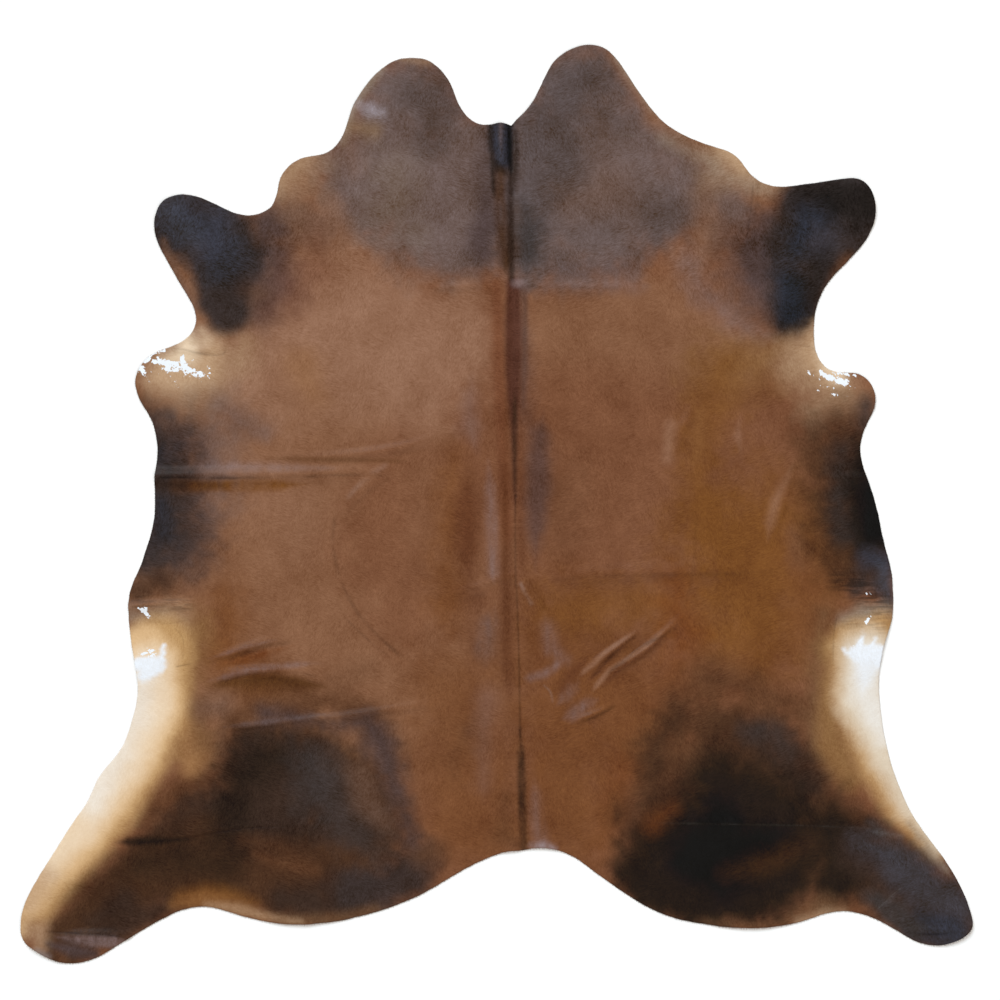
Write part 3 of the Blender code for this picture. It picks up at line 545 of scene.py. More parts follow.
    ("right haunch, left foot", "pitch", 60, 0.95,
     ((290, -810, 30), (340, -850, 50), (430, -880, 40))),
    ("right leg", "sable", 70, 0.95,
     ((800, -760, 50), (880, -800, 60), (960, -880, 70), (1010, -900, 66))),
    ("right leg, upper", "smoke", 40, 0.6, ((830, -703, 12), (862, -728, 18), (914, -784, 16))),
    ("right leg, cool", "steel", 70, 0.65,
     ((806, -742, 18), (870, -780, 30), (950, -850, 48), (1010, -865, 54))),
    ("right foot, rim", "ink", 40, 0.9, ((930, -930, 40), (990, -940, 44))),
    ("right leg, pale line", "silver", 16, 0.12, ((800, -716, -8), (845, -722, 4), (892, -730, 3))),
    ("right leg, pale rim", "ash", 22, 0.6,
     ((905, -700, 4), (950, -752, 5), (990, -805, 4), (1005, -830, -10))),
    ("right leg, low rim", "smoke", 40, 0.95, ((822, -866, 16), (870, -893, 32), (915, -935, 24))),
    ("right haunch, blotch", "bark", 60, 0.5, ((590, -800, 16), (690, -745, 22))),
    ("right haunch, ochre streak", "tobacco", 60, 0.25,
     ((500, -815, 8), (560, -800, 22), (640, -765, 12))),
    ("right haunch, window", "rust", 60, 0.6, ((390, -670, 10), (345, -700, 18))),
    ("right rump, tan", "acorn", 50, 0.85, ((650, -905, 8), (720, -880, 16), (770, -890, 4))),
    ("right rump, tan rim", "sand", 28, 0.5, ((660, -916, 3), (720, -900, 8), (770, -898, 3))),
    ("right rump rim", "acorn", 24, 0.5, ((440, -915, 2), (560, -926, 6), (640, -918, 4))),
    # Painted sheen, highlight and shade on the backbone, wrinkles and folds, with the coat's strips
    # painted sheen: pale gloss beside the backbone
    ("left of spine, pale front", "lilac", 56, 0.35,
     ((-50, 310, -24), (-58, 240, 10), (-58, 180, 18), (-38, 110, -10))),
    ("left of spine, withers", "fawn", 50, 0.9,
     ((-66, 466, 26), (-62, 400, 32), (-50, 330, 22), (-44, 270, -12))),
    # painted sheen, in a streaky band
    ("left of spine, pale band", "lilac", 24, 0.6,
     ((-20, 124, -12), (-14, 40, 8), (-12, -20, 11), (-10, -90, 11), (-6, -150, 13),
      (-4, -178, -8))),
    ("left of spine, dark band", "sorrel", 50, 0.95,
     ((-64, 90, -14), (-62, 0, 28), (-62, -90, 28), (-58, -140, 12), (-54, -175, -10))),
    ("left of spine, kink", "sorrel", 40, 0.5,
     ((-90, -190, -10), (-56, -204, 16), (-28, -212, 14), (-10, -215, -14))),
    # painted sheen behind the kink
    ("left of spine, pale rear", "dusk", 44, 0.5,
     ((4, -215, -16), (-14, -262, 18), (-24, -320, 20), (-24, -375, -18))),
    # painted sheen over the loin
    ("left of spine, pale loin", "lilac", 60, 0.2,
     ((-8, -385, -20), (-20, -430, 22), (-30, -500, 14), (-32, -620, 8), (-28, -680, -28))),
    ("right of spine, pale band", "wine", 40, 0.85,
     ((104, 225, -18), (96, 150, 16), (90, 90, 22), (87, 20, 24), (86, -50, 22), (86, -150, -12))),
    # painted sheen right of the backbone
    ("right of spine, pale rear", "lilac", 40, 0.4,
     ((104, -232, -16), (112, -270, 12), (122, -318, 15), (152, -342, 8), (170, -346, -8))),
    ("spine, rust strip, left", "brick", 22, 0.9,
     ((-2, 484, 8), (4, 400, 13), (6, 280, 14), (9, 200, 13), (14, 120, 12), (20, 20, 12),
      (24, -60, 10), (26, -120, -6))),
    ("spine, rust strip, loin", "sorrel", 26, 0.6,
     ((10, 100, 4), (18, 20, 9), (22, -160, 13), (28, -380, 14), (30, -480, -14))),
    # painted shade of the backbone's valley, with the darker hair of its parting; so too the core below
    ("spine, dark strip", "mahogany", 16, 0.95,
     ((37, 484, 15), (37, 400, 19), (37, 300, 18), (38, 230, 14), (39, 160, 8), (40, 90, 5),
      (40, 20, 3), (40, -40, -5))),
    ("spine, core", "bark", 9, 0.8,
     ((39, 260, -4), (40, 225, 4), (40, 160, 6), (40, 60, 4), (41, 0, -3))),
    ("spine, right edge", "wine", 14, 0.6,
     ((62, 478, 7), (62, 400, 8), (62, 300, 7), (58, 220, 5), (56, 150, -5))),
    ("spine, rust strip, right", "sorrel", 20, 0.6,
     ((54, 215, -8), (53, 150, 6), (52, 60, 8), (54, -120, 8), (55, -170, -8))),
    # painted shade in the rump's groove
    ("rump, groove", "bark", 12, 0.9,
     ((51, -490, -6), (54, -545, 8), (56, -620, 10), (57, -700, 9), (60, -768, 8))),
    # painted sheen right of the rump's groove
    ("rump, pale right", "lilac", 30, 0.35,
     ((82, -585, -12), (84, -640, 9), (88, -700, 12), (100, -746, 16))),
    ("rump, pale rim", "frost", 20, 0.4, ((80, -752, 6), (105, -750, 9), (128, -758, 4))),
    ("nape, dark", "ink", 20, 0.95, ((8, 842, 28), (12, 792, 28), (14, 756, 20))),
    ("nape, right band", "sable", 14, 0.75,
     ((40, 822, 5), (41, 770, 8), (40, 726, 8), (40, 690, 2))),
    # painted shadow beside the nape's crest, on its right
    ("nape, line", "jet", 9, 0.85, ((28, 838, 4), (29, 790, 6), (31, 738, 6), (33, 715, -3))),
    # painted highlight along the nape's crest
    ("nape, crest light", "lilac", 12, 0.45, ((10, 840, 3), (9, 806, 3), (11, 760, -4))),
    ("nape, end", "pitch", 20, 0.8, ((-4, 752, 5), (8, 738, 9), (24, 724, 3))),
    ("neck by spine, low left", "plum", 50, 0.8,
     ((-26, 660, 2), (-31, 600, 22), (-30, 555, 14), (-24, 530, -14))),
    ("neck by spine, low right", "smoke", 60, 0.85,
     ((60, 660, 2), (72, 600, 26), (72, 550, 28), (66, 505, 6))),
    ("neck strip", "bark", 18, 0.9,
     ((5, 724, 14), (8, 650, 13), (14, 590, 15), (18, 540, 17), (20, 498, -8))),
    ("neck strip, low", "bark", 34, 0.9, ((20, 604, 6), (26, 560, 24), (26, 528, 16))),
    ("neck strip, line", "sable", 10, 0.8,
     ((31, 718, 6), (32, 640, 7), (32, 560, 8), (33, 495, 6))),
    ("nape, black end", "pitch", 16, 0.6, ((4, 737, 8), (16, 732, 7))),
    # painted shadow beside the nape's crest, on its left
    ("nape, left line", "pitch", 12, 0.85,
     ((-13, 838, 5), (-12, 790, 6), (-9, 740, 5), (-7, 690, 3), (-4, 672, -3))),
    ("nape, right line", "pitch", 9, 0.5,
     ((44, 820, 2), (46, 780, 3), (42, 735, 3), (40, 715, -3))),
    # painted sheen on a fleck of the withers
    ("withers, pale fleck", "lilac", 18, 0.8,
     ((26, 492, -8), (40, 487, 7), (56, 486, 8), (74, 490, -8))),
    # painted shade in the hollow between the right wrinkles
    ("wrinkle hollow", "sorrel", 30, 0.85,
     ((200, -334, -6), (184, -356, 10), (162, -382, 12), (146, -406, 8), (136, -418, -8))),
    ("wrinkle sheen, welt", "lilac", 20, 0.55,
     ((52, -388, -10), (76, -381, 7), (104, -374, 8), (134, -352, 7), (156, -336, -8))),
    ("wrinkle sheen, low", "lilac", 26, 0.5,
     ((140, -474, -8), (166, -464, 10), (186, -452, 11), (204, -438, 8), (226, -430, -8))),
    ("wrinkle sheen, tick", "lilac", 26, 0.45,
     ((130, -446, -8), (150, -426, 8), (166, -408, 8), (182, -390, -8))),
    # painted highlight on the lit sides of the right wrinkles
    ("right wrinkle, first light", "fawn", 10, 0.7,
     ((178, -384, -3), (194, -366, 4), (216, -348, 5), (240, -325, 4), (262, -308, 4),
      (286, -293, 3), (314, -272, -4))),
    ("right wrinkle, second light", "fawn", 10, 0.7,
     ((208, -416, -3), (220, -398, 4), (233, -384, 5), (247, -365, 4), (266, -352, 3),
      (288, -338, 3), (308, -326, 3), (328, -311, 4), (350, -294, 3), (394, -256, -3))),
    # painted shade on the shaded sides of the right wrinkles
    ("right wrinkle, first dark", "sorrel", 10, 0.75,
     ((192, -396, -3), (210, -380, 5), (230, -358, 5), (250, -336, 5), (270, -318, 4),
      (294, -297, 3), (322, -280, -3))),
    ("right wrinkle, second dark", "sorrel", 10, 0.7,
     ((226, -410, -3), (244, -388, 5), (266, -366, 4), (292, -348, 4), (320, -330, 3),
      (352, -306, 3), (400, -262, -3))),
    # painted shade on the shaded side of the main left wrinkle
    ("left wrinkle, rust", "tobacco", 20, 0.9,
     ((-645, -404, -8), (-600, -396, 6), (-550, -388, 9), (-490, -387, 13), (-440, -392, 13),
      (-400, -398, 8), (-350, -404, -8))),
    # painted highlight on its lit side
    ("left wrinkle, main light", "lilac", 14, 0.55,
     ((-640, -391, -4), (-595, -378, 5), (-540, -364, 6), (-490, -357, 6), (-430, -352, 5),
      (-380, -350, -5))),
    # painted shade and highlight on the two sides of the first left wrinkle
    ("left wrinkle, first rust", "rust", 20, 0.9,
     ((-615, -350, -5), (-560, -341, 10), (-510, -328, 10), (-440, -308, -5))),
    ("left wrinkle, first light", "lilac", 8, 0.5,
     ((-640, -341, -2), (-600, -329, 3), (-550, -313, 3), (-500, -301, 2), (-470, -294, -3))),
    # painted highlight on the lit side of the low left wrinkle
    ("left wrinkle, low light", "dusk", 10, 0.6,
     ((-610, -492, -3), (-555, -484, 5), (-500, -478, 5), (-450, -470, 4), (-400, -463, 3),
      (-350, -458, -4))),
    # painted shade on the shaded side of the packing fold
    ("left packing fold, rust", "ochre", 16, 0.9,
     ((-665, 40, 8), (-560, 41, 14), (-480, 42, 12), (-390, 46, -7))),
    ("left packing fold, dark end", "tobacco", 26, 0.9,
     ((-705, 42, 12), (-655, 41, 12), (-600, 41, 4))),
    ("left packing fold, black end", "sable", 26, 0.8, ((-750, 44, 12), (-690, 42, 10))),
    ("left packing fold, sheen", "lilac", 24, 0.45,
     ((-700, 80, -8), (-640, 84, 9), (-500, 82, 9), (-400, 80, 5), (-320, 78, -12))),
    ("left second fold, ochre", "tobacco", 12, 0.5,
     ((-540, 101, -4), (-450, 101, 5), (-330, 98, 5), (-220, 95, 4), (-180, 94, -5))),
))

# White hairs: inside a chain the coat breaks up into jagged flecks, dense where share is high.
FLECKS = table("Fleck", "name soft share line", (
    ("left chest, rim", 12, 0.95, ((-780, 312, 3), (-756, 332, 4), (-726, 340, 4))),
    ("left chest, upper", 14, 1.0,
     ((-774, 317, 6), (-742, 316, 7), (-722, 308, 9), (-702, 306, 8))),
    ("left chest, spike", 10, 1.1, ((-691, 324, 5), (-686, 302, 10))),
    ("left chest, low", 14, 0.95, ((-734, 298, 4), (-698, 294, 7), (-664, 292, 8), (-644, 283, 6))),
    ("left chest, island", 10, 1.0, ((-784, 302, 6), (-774, 287, 6))),
    ("left chest, spread", 60, 0.42, ((-770, 290, 20), (-640, 290, 20))),
    ("right chest, main", 12, 1.0, ((716, 290, 6), (736, 276, 8), (766, 268, 8))),
    ("right chest, rim", 10, 0.85, ((738, 289, 3), (775, 285, 3), (800, 283, 1))),
    ("right chest, streak a", 8, 1.0, ((685, 295, 2), (695, 281, 2))),
    ("right chest, streak b", 8, 1.0, ((713, 263, 3), (718, 252, 2))),
    ("right chest, streak c", 8, 0.9, ((707, 252, 2), (718, 242, 2))),
    ("right chest, streak d", 10, 1.0, ((732, 261, 3), (754, 248, 3))),
    ("right chest, streak e", 8, 0.9, ((740, 243, 2), (752, 240, 2))),
    ("right chest, spread", 44, 0.4, ((715, 270, 16), (770, 260, 16))),
    ("left flank nick", 10, 1.1, ((-786, -228, 4), (-774, -236, 5), (-764, -248, 5))),
    ("left flank nick, upper", 8, 1.0, ((-774, -226, 3), (-768, -234, 2))),
    ("right flank nick", 10, 1.1, ((822, -246, 2), (813, -260, 3))),
    ("right flank top", 12, 0.9, ((816, -196, 3), (828, -200, 2), (838, -210, 3))),
    ("left flank rim", 20, 0.72, ((-784, -330, 8), (-752, -326, 10))),
    ("right flank rim", 12, 0.66, ((790, -312, 6), (815, -304, 6))),
))

# Fine wrinkles across the hair, painted as lines of shade, thick where share is high.
RIPPLES = table("Ripple", "name soft share line", (
    ("right flank", 50, 1.0, ((750, -165, 14), (800, -185, 30), (850, -225, 20))),
    ("right flank, low", 40, 0.5, ((770, -262, 8), (850, -268, 12))),
    ("left flank", 40, 0.7, ((-790, -205, 8), (-690, -222, 14))),
    ("left belly", 50, 0.4, ((-770, -60, 16), (-770, -140, 16))),
))

# ---------------------------------------------------------------- small tools
def smooth(t):
    """An S-shaped step from 0 to 1."""
    t = np.clip(t, 0.0, 1.0)
    return t * t * (3.0 - 2.0 * t)


def linear(srgb):
    """The linear light of an sRGB colour that runs from 0 to 255."""
    c = np.asarray(srgb, float) / 255.0
    return np.where(c <= 0.04045, c / 12.92, ((c + 0.055) / 1.055) ** 2.4)


def lattice(i, j, seed):
    """A fixed random number from 0 to 1 for each whole place."""
    mixed = (i * 374761393 + j * 668265263 + seed * 974634777) & 0x7FFFFFFF
    mixed = ((mixed ^ (mixed >> 13)) * 1274126177) & 0x7FFFFFFF
    return ((mixed ^ (mixed >> 16)) & 0xFFFF) / 65535.0


def clouds(x, y, size, seed):
    """Soft random field from -1 to 1 whose lumps are about size across."""
    u, v = x / size, y / size
    i, j = np.floor(u).astype(np.int64), np.floor(v).astype(np.int64)
    s, t = smooth(u - i), smooth(v - j)
    low = lattice(i, j, seed) * (1 - s) + lattice(i + 1, j, seed) * s
    high = lattice(i, j + 1, seed) * (1 - s) + lattice(i + 1, j + 1, seed) * s
    return 2.0 * (low * (1 - t) + high * t) - 1.0


def cloud_layers(x, y, layers):
    """The sum of clouds that are each given as strength, size and seed."""
    return sum(strength * clouds(x, y, size, seed) for strength, size, seed in layers)


def unit(way):
    """The same directions with a length of one."""
    return way / np.hypot(way[:, 0], way[:, 1])[:, None]


def turned_left(way):
    """Directions turned by a right angle."""
    return np.stack([-way[:, 1], way[:, 0]], 1)


def inward(loop):
    """Unit directions into an anticlockwise loop."""
    return turned_left(unit(np.roll(loop, -1, 0) - np.roll(loop, 1, 0)))


def curve_through(points, step):
    """A smooth open line through points, with a place about every step."""
    points = [np.array(p, float) for p in points]
    if len(points) == 2:
        points = [points[0], (points[0] + points[1]) / 2, points[1]]
    ends = [2 * points[0] - points[1]] + points + [2 * points[-1] - points[-2]]
    line = []
    for a, b, c, d in zip(ends, ends[1:], ends[2:], ends[3:]):
        count = max(2, int(math.ceil(np.hypot(*(c - b)[:2]) / step)))
        for k in range(count):
            t = k / count
            place = 2 * b + (c - a) * t
            place = place + (2 * a - 5 * b + 4 * c - d) * t**2
            place = place + (3 * b - a - 3 * c + d) * t**3
            line.append(0.5 * place)
    line.append(points[-1])
    return np.array(line)


def nearest_on_line(x, y, line):
    """Distance to a line, the share of its length there, and which side the place is on."""
    best = np.full(x.shape, 1e9)
    share = np.zeros(x.shape)
    side = np.zeros(x.shape)
    steps = len(line) - 1
    for k in range(steps):
        ax, ay = line[k][:2]
        dx, dy = line[k + 1][0] - ax, line[k + 1][1] - ay
        t = np.clip(((x - ax) * dx + (y - ay) * dy) / max(dx * dx + dy * dy, 1e-9), 0.0, 1.0)
        ox, oy = x - ax - t * dx, y - ay - t * dy
        away = np.hypot(ox, oy)
        closer = away < best
        best = np.where(closer, away, best)
        share = np.where(closer, (k + t) / steps, share)
        side = np.where(closer, dx * oy - dy * ox, side)
    return best, share, side


def near(x, y, line, reach):
    """Which places can be within reach of a line."""
    low, high = line[:, :2].min(0) - reach, line[:, :2].max(0) + reach
    return np.nonzero((x > low[0]) & (x < high[0]) & (y > low[1]) & (y < high[1]))[0]


# ---------------------------------------------------------------- shape of the skin
def fold_line(fold):
    """The crest of a fold, curved towards its bend."""
    a, b, c = (np.array(p, float) - FOLD_ORIGIN for p in (fold.start, fold.bend, fold.end))
    steps = max(6, int(np.hypot(*(c - a)) / FOLD_STEP))
    t = np.linspace(0.0, 1.0, steps + 1)[:, None]
    return (1 - t) ** 2 * a + 2 * t * (1 - t) * b + t * t * c


def lift_at(x, y):
    """Height of the flesh side above the floor, in mm: the solid's own folds and swells."""
    total = np.zeros(x.shape)
    for fold in FOLDS:
        line = fold_line(fold)
        here = near(x, y, line, max(fold.left, fold.right))
        away, share, side = nearest_on_line(x[here], y[here], line)
        first, halfway, last = fold.heights
        early = first + (halfway - first) * smooth(2 * share)
        late = halfway + (last - halfway) * smooth(2 * share - 1)
        crest = np.where(share < 0.5, early, late)
        width = np.where(side > 0, fold.left, fold.right)
        total[here] += (crest * smooth(1 - away / width)) ** 3
    for swell in SWELLS:
        away = np.hypot(x - swell.x + FOLD_ORIGIN[0], y - swell.y + FOLD_ORIGIN[1])
        total += (swell.height * smooth(1 - away / swell.reach)) ** 3
    return np.cbrt(total)


def crease_fields(x, y):
    """How deep the small creases press the coat, and what shade or highlight they paint on it."""
    depth, shade = np.zeros(x.shape), np.zeros(x.shape)
    for crease in CREASES:
        line = curve_through(crease.line, CREASE_STEP)
        here = near(x, y, line, crease.reach * CREASE_SPREAD * (1 + CREASE_WOBBLE))
        hx, hy = x[here], y[here]
        away, share, _ = nearest_on_line(hx, hy, line)
        taper = broken = 1.0  # the spine's creases run on from one to the next
        if not crease.name.startswith("spine"):
            taper = smooth(share * CREASE_ENDS) * smooth((1 - share) * CREASE_ENDS)
            broken = CREASE_MEAN + CREASE_SWING * clouds(hx, hy, 29, 6)
        wobble = 1 + CREASE_WOBBLE * clouds(hx, hy, 21, 5)
        near_line = smooth(1 - away / (crease.reach * wobble * CREASE_SPREAD))
        depth[here] += crease.depth * taper * near_line
        shade[here] += crease.shade * taper * broken * near_line**1.5
    return depth, shade


def rim_of_solid(node):
    """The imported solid's cut edge as a closed loop in mm, anticlockwise."""
    shape = bmesh.new()
    shape.from_mesh(node.data)
    bmesh.ops.remove_doubles(shape, verts=shape.verts[:], dist=1e-6)
    shape.normal_update()
    links = {}
    for edge in shape.edges:
        rises = sorted((face.normal.z for face in edge.link_faces), key=abs)
        if len(rises) == 2 and abs(rises[0]) < WALL and rises[1] < -LEVEL:
            a, b = edge.verts
            links.setdefault(a.index, []).append(b.index)
            links.setdefault(b.index, []).append(a.index)
    shape.verts.ensure_lookup_table()
    start = min(links)
    loop, last, now = [start], None, start
    while True:
        onward = [n for n in links[now] if n != last]
        last, now = now, onward[0]
        if now == start:
            break
        loop.append(now)
    points = np.array([shape.verts[i].co[:2] for i in loop]) / MM
    shape.free()
    x, y = points[:, 0], points[:, 1]
    area = np.sum(x * np.roll(y, -1) - y * np.roll(x, -1))
    return points if area > 0 else points[::-1]


def fine_rim(points):
    """The cut edge with a place every few mm, round between the solid's corners."""
    count = len(points)
    sharp = set()
    for k in range(count):
        before = points[k] - points[k - 1]
        after = points[(k + 1) % count] - points[k]
        turn = math.atan2(before[0] * after[1] - before[1] * after[0], before @ after)
        if abs(turn) > math.radians(SHARP_TURN):
            sharp.add(k)
    line = []
    for k in range(count):
        a, b, c, d = (points[(k + n) % count] for n in (-1, 0, 1, 2))
        chord = np.hypot(*(c - b))
        leave = (c - b) if k in sharp else (c - a) * chord / (chord + np.hypot(*(b - a)))
        arrive = (c - b) if (k + 1) % count in sharp else (d - b) * chord / (chord + np.hypot(*(d - c)))
        steps = max(1, int(round(chord / RIM_STEP)))
        for s in range(steps):
            t = s / steps
            line.append(
                (2 * t**3 - 3 * t**2 + 1) * b
                + (t**3 - 2 * t**2 + t) * leave
                + (3 * t**2 - 2 * t**3) * c
                + (t**3 - t**2) * arrive
            )
    line = np.array(line)
    wander = cloud_layers(line[:, 0], line[:, 1], RIM_WANDER)
    return line - inward(line) * (wander[:, None] - RIM_OUT)


def inside_of(x, y, loop):
    """Which places lie inside a loop."""
    inside = np.zeros(x.shape, bool)
    ax, ay = loop[:, 0], loop[:, 1]
    bx, by = np.roll(ax, -1), np.roll(ay, -1)
    for a0, a1, b0, b1 in zip(ax, ay, bx, by):
        if a1 == b1:
            continue
        here = (a1 > y) != (b1 > y)
        inside ^= here & (x < a0 + (y - a1) * (b0 - a0) / (b1 - a1))
    return inside


def distance_to_rim(x, y, rim, most=24.0):
    """Distance to the rim for places near it, and most for all others."""
    table = {}
    for k, (px, py) in enumerate(rim):
        table.setdefault((math.floor(px / most), math.floor(py / most)), []).append(k)
    away = np.full(x.shape, most)
    ci, cj = np.floor(x / most).astype(int), np.floor(y / most).astype(int)
    order = np.lexsort((cj, ci))
    starts = np.nonzero(np.diff(ci[order]) | np.diff(cj[order]))[0] + 1
    for group in np.split(order, starts):
        a, b = ci[group[0]], cj[group[0]]
        found = [k for m in (-1, 0, 1) for n in (-1, 0, 1) for k in table.get((a + m, b + n), ())]
        if found:
            close = rim[found]
            gaps = np.hypot(x[group, None] - close[None, :, 0], y[group, None] - close[None, :, 1])
            away[group] = np.minimum(most, gaps.min(1))
    return away


def well_inside(x, y, rim):
    """Which places lie inside the rim with some room to it."""
    return inside_of(x, y, rim) & (distance_to_rim(x, y, rim) > RIM_ROOM * RIM_STEP)


def fill_places(rim, pitch, fine_lines):
    """Places inside the rim on a three-way grid, twice as fine within reach of the given lines."""
    fine = pitch / 2
    columns, rows = int(HALF_WIDTH / fine), int(HALF_HEIGHT / (fine * ROW_SHARE))
    i, j = np.meshgrid(np.arange(-columns, columns + 1), np.arange(-rows, rows + 1))
    i, j = i.ravel(), j.ravel()
    x, y = (i + 0.5 * (j % 2)) * fine, j * fine * ROW_SHARE
    keep = (j % 2 == 0) & ((i + j // 2) % 2 == 0)
    for line, reach in fine_lines:
        here = near(x, y, line, reach)
        away, _, _ = nearest_on_line(x[here], y[here], line)
        keep[here] |= away < reach
    x, y = x[keep], y[keep]
    inside = well_inside(x, y, rim)
    x, y = x[inside], y[inside]
    stray = STRAY * pitch
    return np.stack([x + stray * clouds(x, y, 3.1, 71), y + stray * clouds(x, y, 3.3, 72)], 1)


def with_thin_lines(places, rim, lines):
    """The places, with rows of close places along thin lines instead of those near them."""
    x, y = places[:, 0], places[:, 1]
    clear = THIN_ROWS[-1] + THIN_ROOM
    keep, added = np.ones(len(x), bool), []
    for line in lines:
        here = near(x, y, line, clear)
        keep[here] &= nearest_on_line(x[here], y[here], line)[0] > clear
        normals = turned_left(unit(np.gradient(line, axis=0)))
        for row, offset in enumerate(THIN_ROWS):
            moved = line + normals * offset
            added.append(moved if row % 2 == 0 else (moved[1:] + moved[:-1]) / 2)
    more = np.concatenate(added)
    return np.concatenate([places[keep], more[well_inside(more[:, 0], more[:, 1], rim)]])


# ---------------------------------------------------------------- painting the coat
# Borders: how far they wander and in what lumps, from which softness on and from which one in
# full; their rags as strength, lump size and seed, and the softness that shows them in full
BORDER_WANDER, BORDER_LUMP = 6, 130
WANDERS_FROM, WANDERS_FULLY = 25, 70
BORDER_RAGS = ((0.12, 52, 43), (0.12, 24, 44), (0.10, 12, 47))
RAGS_FULLY = 90

# Brushed tones: small patches of them come in streaks along the hair, again as strength, lump
# size and seed, with the mean and the swing of a patch's share
BRUSHED = ("lilac", "dusk", "rust", "ochre", "frost", "chestnut", "bark")
BRUSHED_MOST = 46
BRUSH_ACROSS, BRUSH_ALONG = 2.4, 0.6
BRUSH_STREAKS = ((1.0, 24, 45), (0.5, 11, 46))
BRUSH_MEAN, BRUSH_SWING = 0.78, 0.34

# The studio's light on a flat place, and the gloss that a flat place adds, taken off the tones,
# and the share of a tone that is painted in any case
WINDOW_LIGHT = (1.11, 1.13, 1.14)
WINDOW_GLOSS = (0.0100, 0.0092, 0.0086)
LEAST_PAINT = 0.15

PALEST, DARKEST = -0.5, 0.85  # what the painted highlight and painted shade of all creases at a place come to at most
PAINTED_HIGHLIGHT_GAIN = 0.25  # how far a crease's painted highlight goes towards white
NECK_START, NECK_FADE = 430, 120  # the neck's stronger grain begins here and fades in
HAIR_SLOPE = 0.3  # how steeply the lie of the hair turns away from the backbone
FLECK_SLANT = 0.9  # how far the white flecks of the right side lean
FLECK_SHORT = (1.15, 0.65)  # how much shorter than wide a fleck is, and less so on the right


def chain_share(x, y, line, soft, ragged=0.0):
    """How far each place lies inside a chain of discs: 0 outside, 1 inside."""
    best = np.full(x.shape, -1e9)
    for (ax, ay, ar), (bx, by, br) in zip(line, line[1:]):
        dx, dy = bx - ax, by - ay
        t = np.clip(((x - ax) * dx + (y - ay) * dy) / (dx * dx + dy * dy), 0.0, 1.0)
        best = np.maximum(best, ar + (br - ar) * t - np.hypot(x - ax - t * dx, y - ay - t * dy))
    return smooth(best / soft + 0.5 + ragged)


def coat_colours(x, y):
    """The coat's colour at each place."""
    wide_x, wide_y = (BORDER_WANDER * clouds(x, y, BORDER_LUMP, seed) for seed in (41, 42))
    ragged = cloud_layers(x, y, BORDER_RAGS)
    brushed = cloud_layers(x * BRUSH_ACROSS, y * BRUSH_ALONG, BRUSH_STREAKS)
    colour = np.tile(linear(TONES["russet"]), (len(x), 1))
    for patch in PATCHES:
        wander = min(1.0, patch.soft / WANDERS_FULLY) if patch.soft > WANDERS_FROM else 0.0
        fray = ragged * min(1.0, patch.soft / RAGS_FULLY)
        u, v = x + wander * wide_x, y + wander * wide_y
        share = patch.share * chain_share(u, v, patch.line, patch.soft, fray)
        if patch.soft <= BRUSHED_MOST and patch.tone in BRUSHED:
            share *= BRUSH_MEAN + BRUSH_SWING * brushed
        colour += share[:, None] * (linear(TONES[patch.tone]) - colour)
    return colour


def densest(x, y, rows):
    """The highest share that a table of flecks or ripples has at each place."""
    dense = np.zeros(x.shape)
    for row in rows:
        dense = np.maximum(dense, row.share * chain_share(x, y, row.line, row.soft))
    return dense


def unlit(colour):
    """What to paint for a colour to be seen on a flat place."""
    return np.maximum((colour - WINDOW_GLOSS) / WINDOW_LIGHT, LEAST_PAINT * colour)


def paint_points(mesh, name, values):
    """A colour for each place of a mesh."""
    layer = mesh.color_attributes.new(name, "FLOAT_COLOR", "POINT")
    layer.data.foreach_set("color", np.column_stack([values, np.ones(len(values))]).ravel())


def lay_points(mesh, name, across, along, height):
    """Where the coat's noises find each place of a mesh."""
    layer = mesh.attributes.new(name, "FLOAT_VECTOR", "POINT")
    layer.data.foreach_set("vector", np.column_stack([across, along, height]).ravel() * MM)


def paint_sheet(mesh, places):
    """The coat's colour, its white, neck and rippled parts, and the lie of its hair."""
    x, y, height = places[:, 0], places[:, 1], places[:, 2]
    _, shade = crease_fields(x, y)
    shade = np.clip(shade, PALEST, DARKEST)[:, None]
    colour = coat_colours(x, y)
    # the creases' painted highlight where shade is negative, then their painted shade where it is
    # positive
    pale = colour + PAINTED_HIGHLIGHT_GAIN * (1 - colour) * np.maximum(-shade, 0)
    paint_points(mesh, "coat_tone", unlit(pale * (1 - np.maximum(shade, 0))))
    neck = smooth((y - NECK_START) / NECK_FADE)
    white, ripple = densest(x, y, FLECKS), densest(x, y, RIPPLES)
    paint_points(mesh, "coat_marks", np.column_stack([white, neck, ripple]))
    slope = HAIR_SLOPE * np.abs(x - SPINE_X)
    lay_points(mesh, "coat_lie", np.abs(x - SPINE_X) + HAIR_SLOPE * y, y - slope, height)
    right = np.where(x > 0, 1.0, 0.0)
    short, less = FLECK_SHORT
    lean = x + right * FLECK_SLANT * y
    lay_points(mesh, "fleck_lie", lean, (short - less * right) * (y - right * x), height)


# ---------------------------------------------------------------- the pieces
def placed(name, data):
    """A new object in the scene."""
    thing = bpy.data.objects.new(name, data)
    bpy.context.scene.collection.objects.link(thing)
    return thing


def mesh_of(name, places, faces):
    """A smooth mesh from places in mm."""
    mesh = bpy.data.meshes.new(name)
    mesh.from_pydata((places * MM).tolist(), [], faces)
    mesh.polygons.foreach_set("use_smooth", [True] * len(faces))
    return mesh


def cut_up(edge, pitch, fine_lines, thin_lines=()):
    """The places of a flat face, its edge's first, and its triangles."""
    inner = fill_places(edge, pitch, fine_lines)
    if thin_lines:
        inner = with_thin_lines(inner, edge, thin_lines)
    places = [Vector(p) for p in np.concatenate([edge, inner])]
    flat, _, triangles, *_ = delaunay_2d_cdt(places, [], [list(range(len(edge)))], 1, 1e-5)
    return np.array([p[:] for p in flat]), triangles


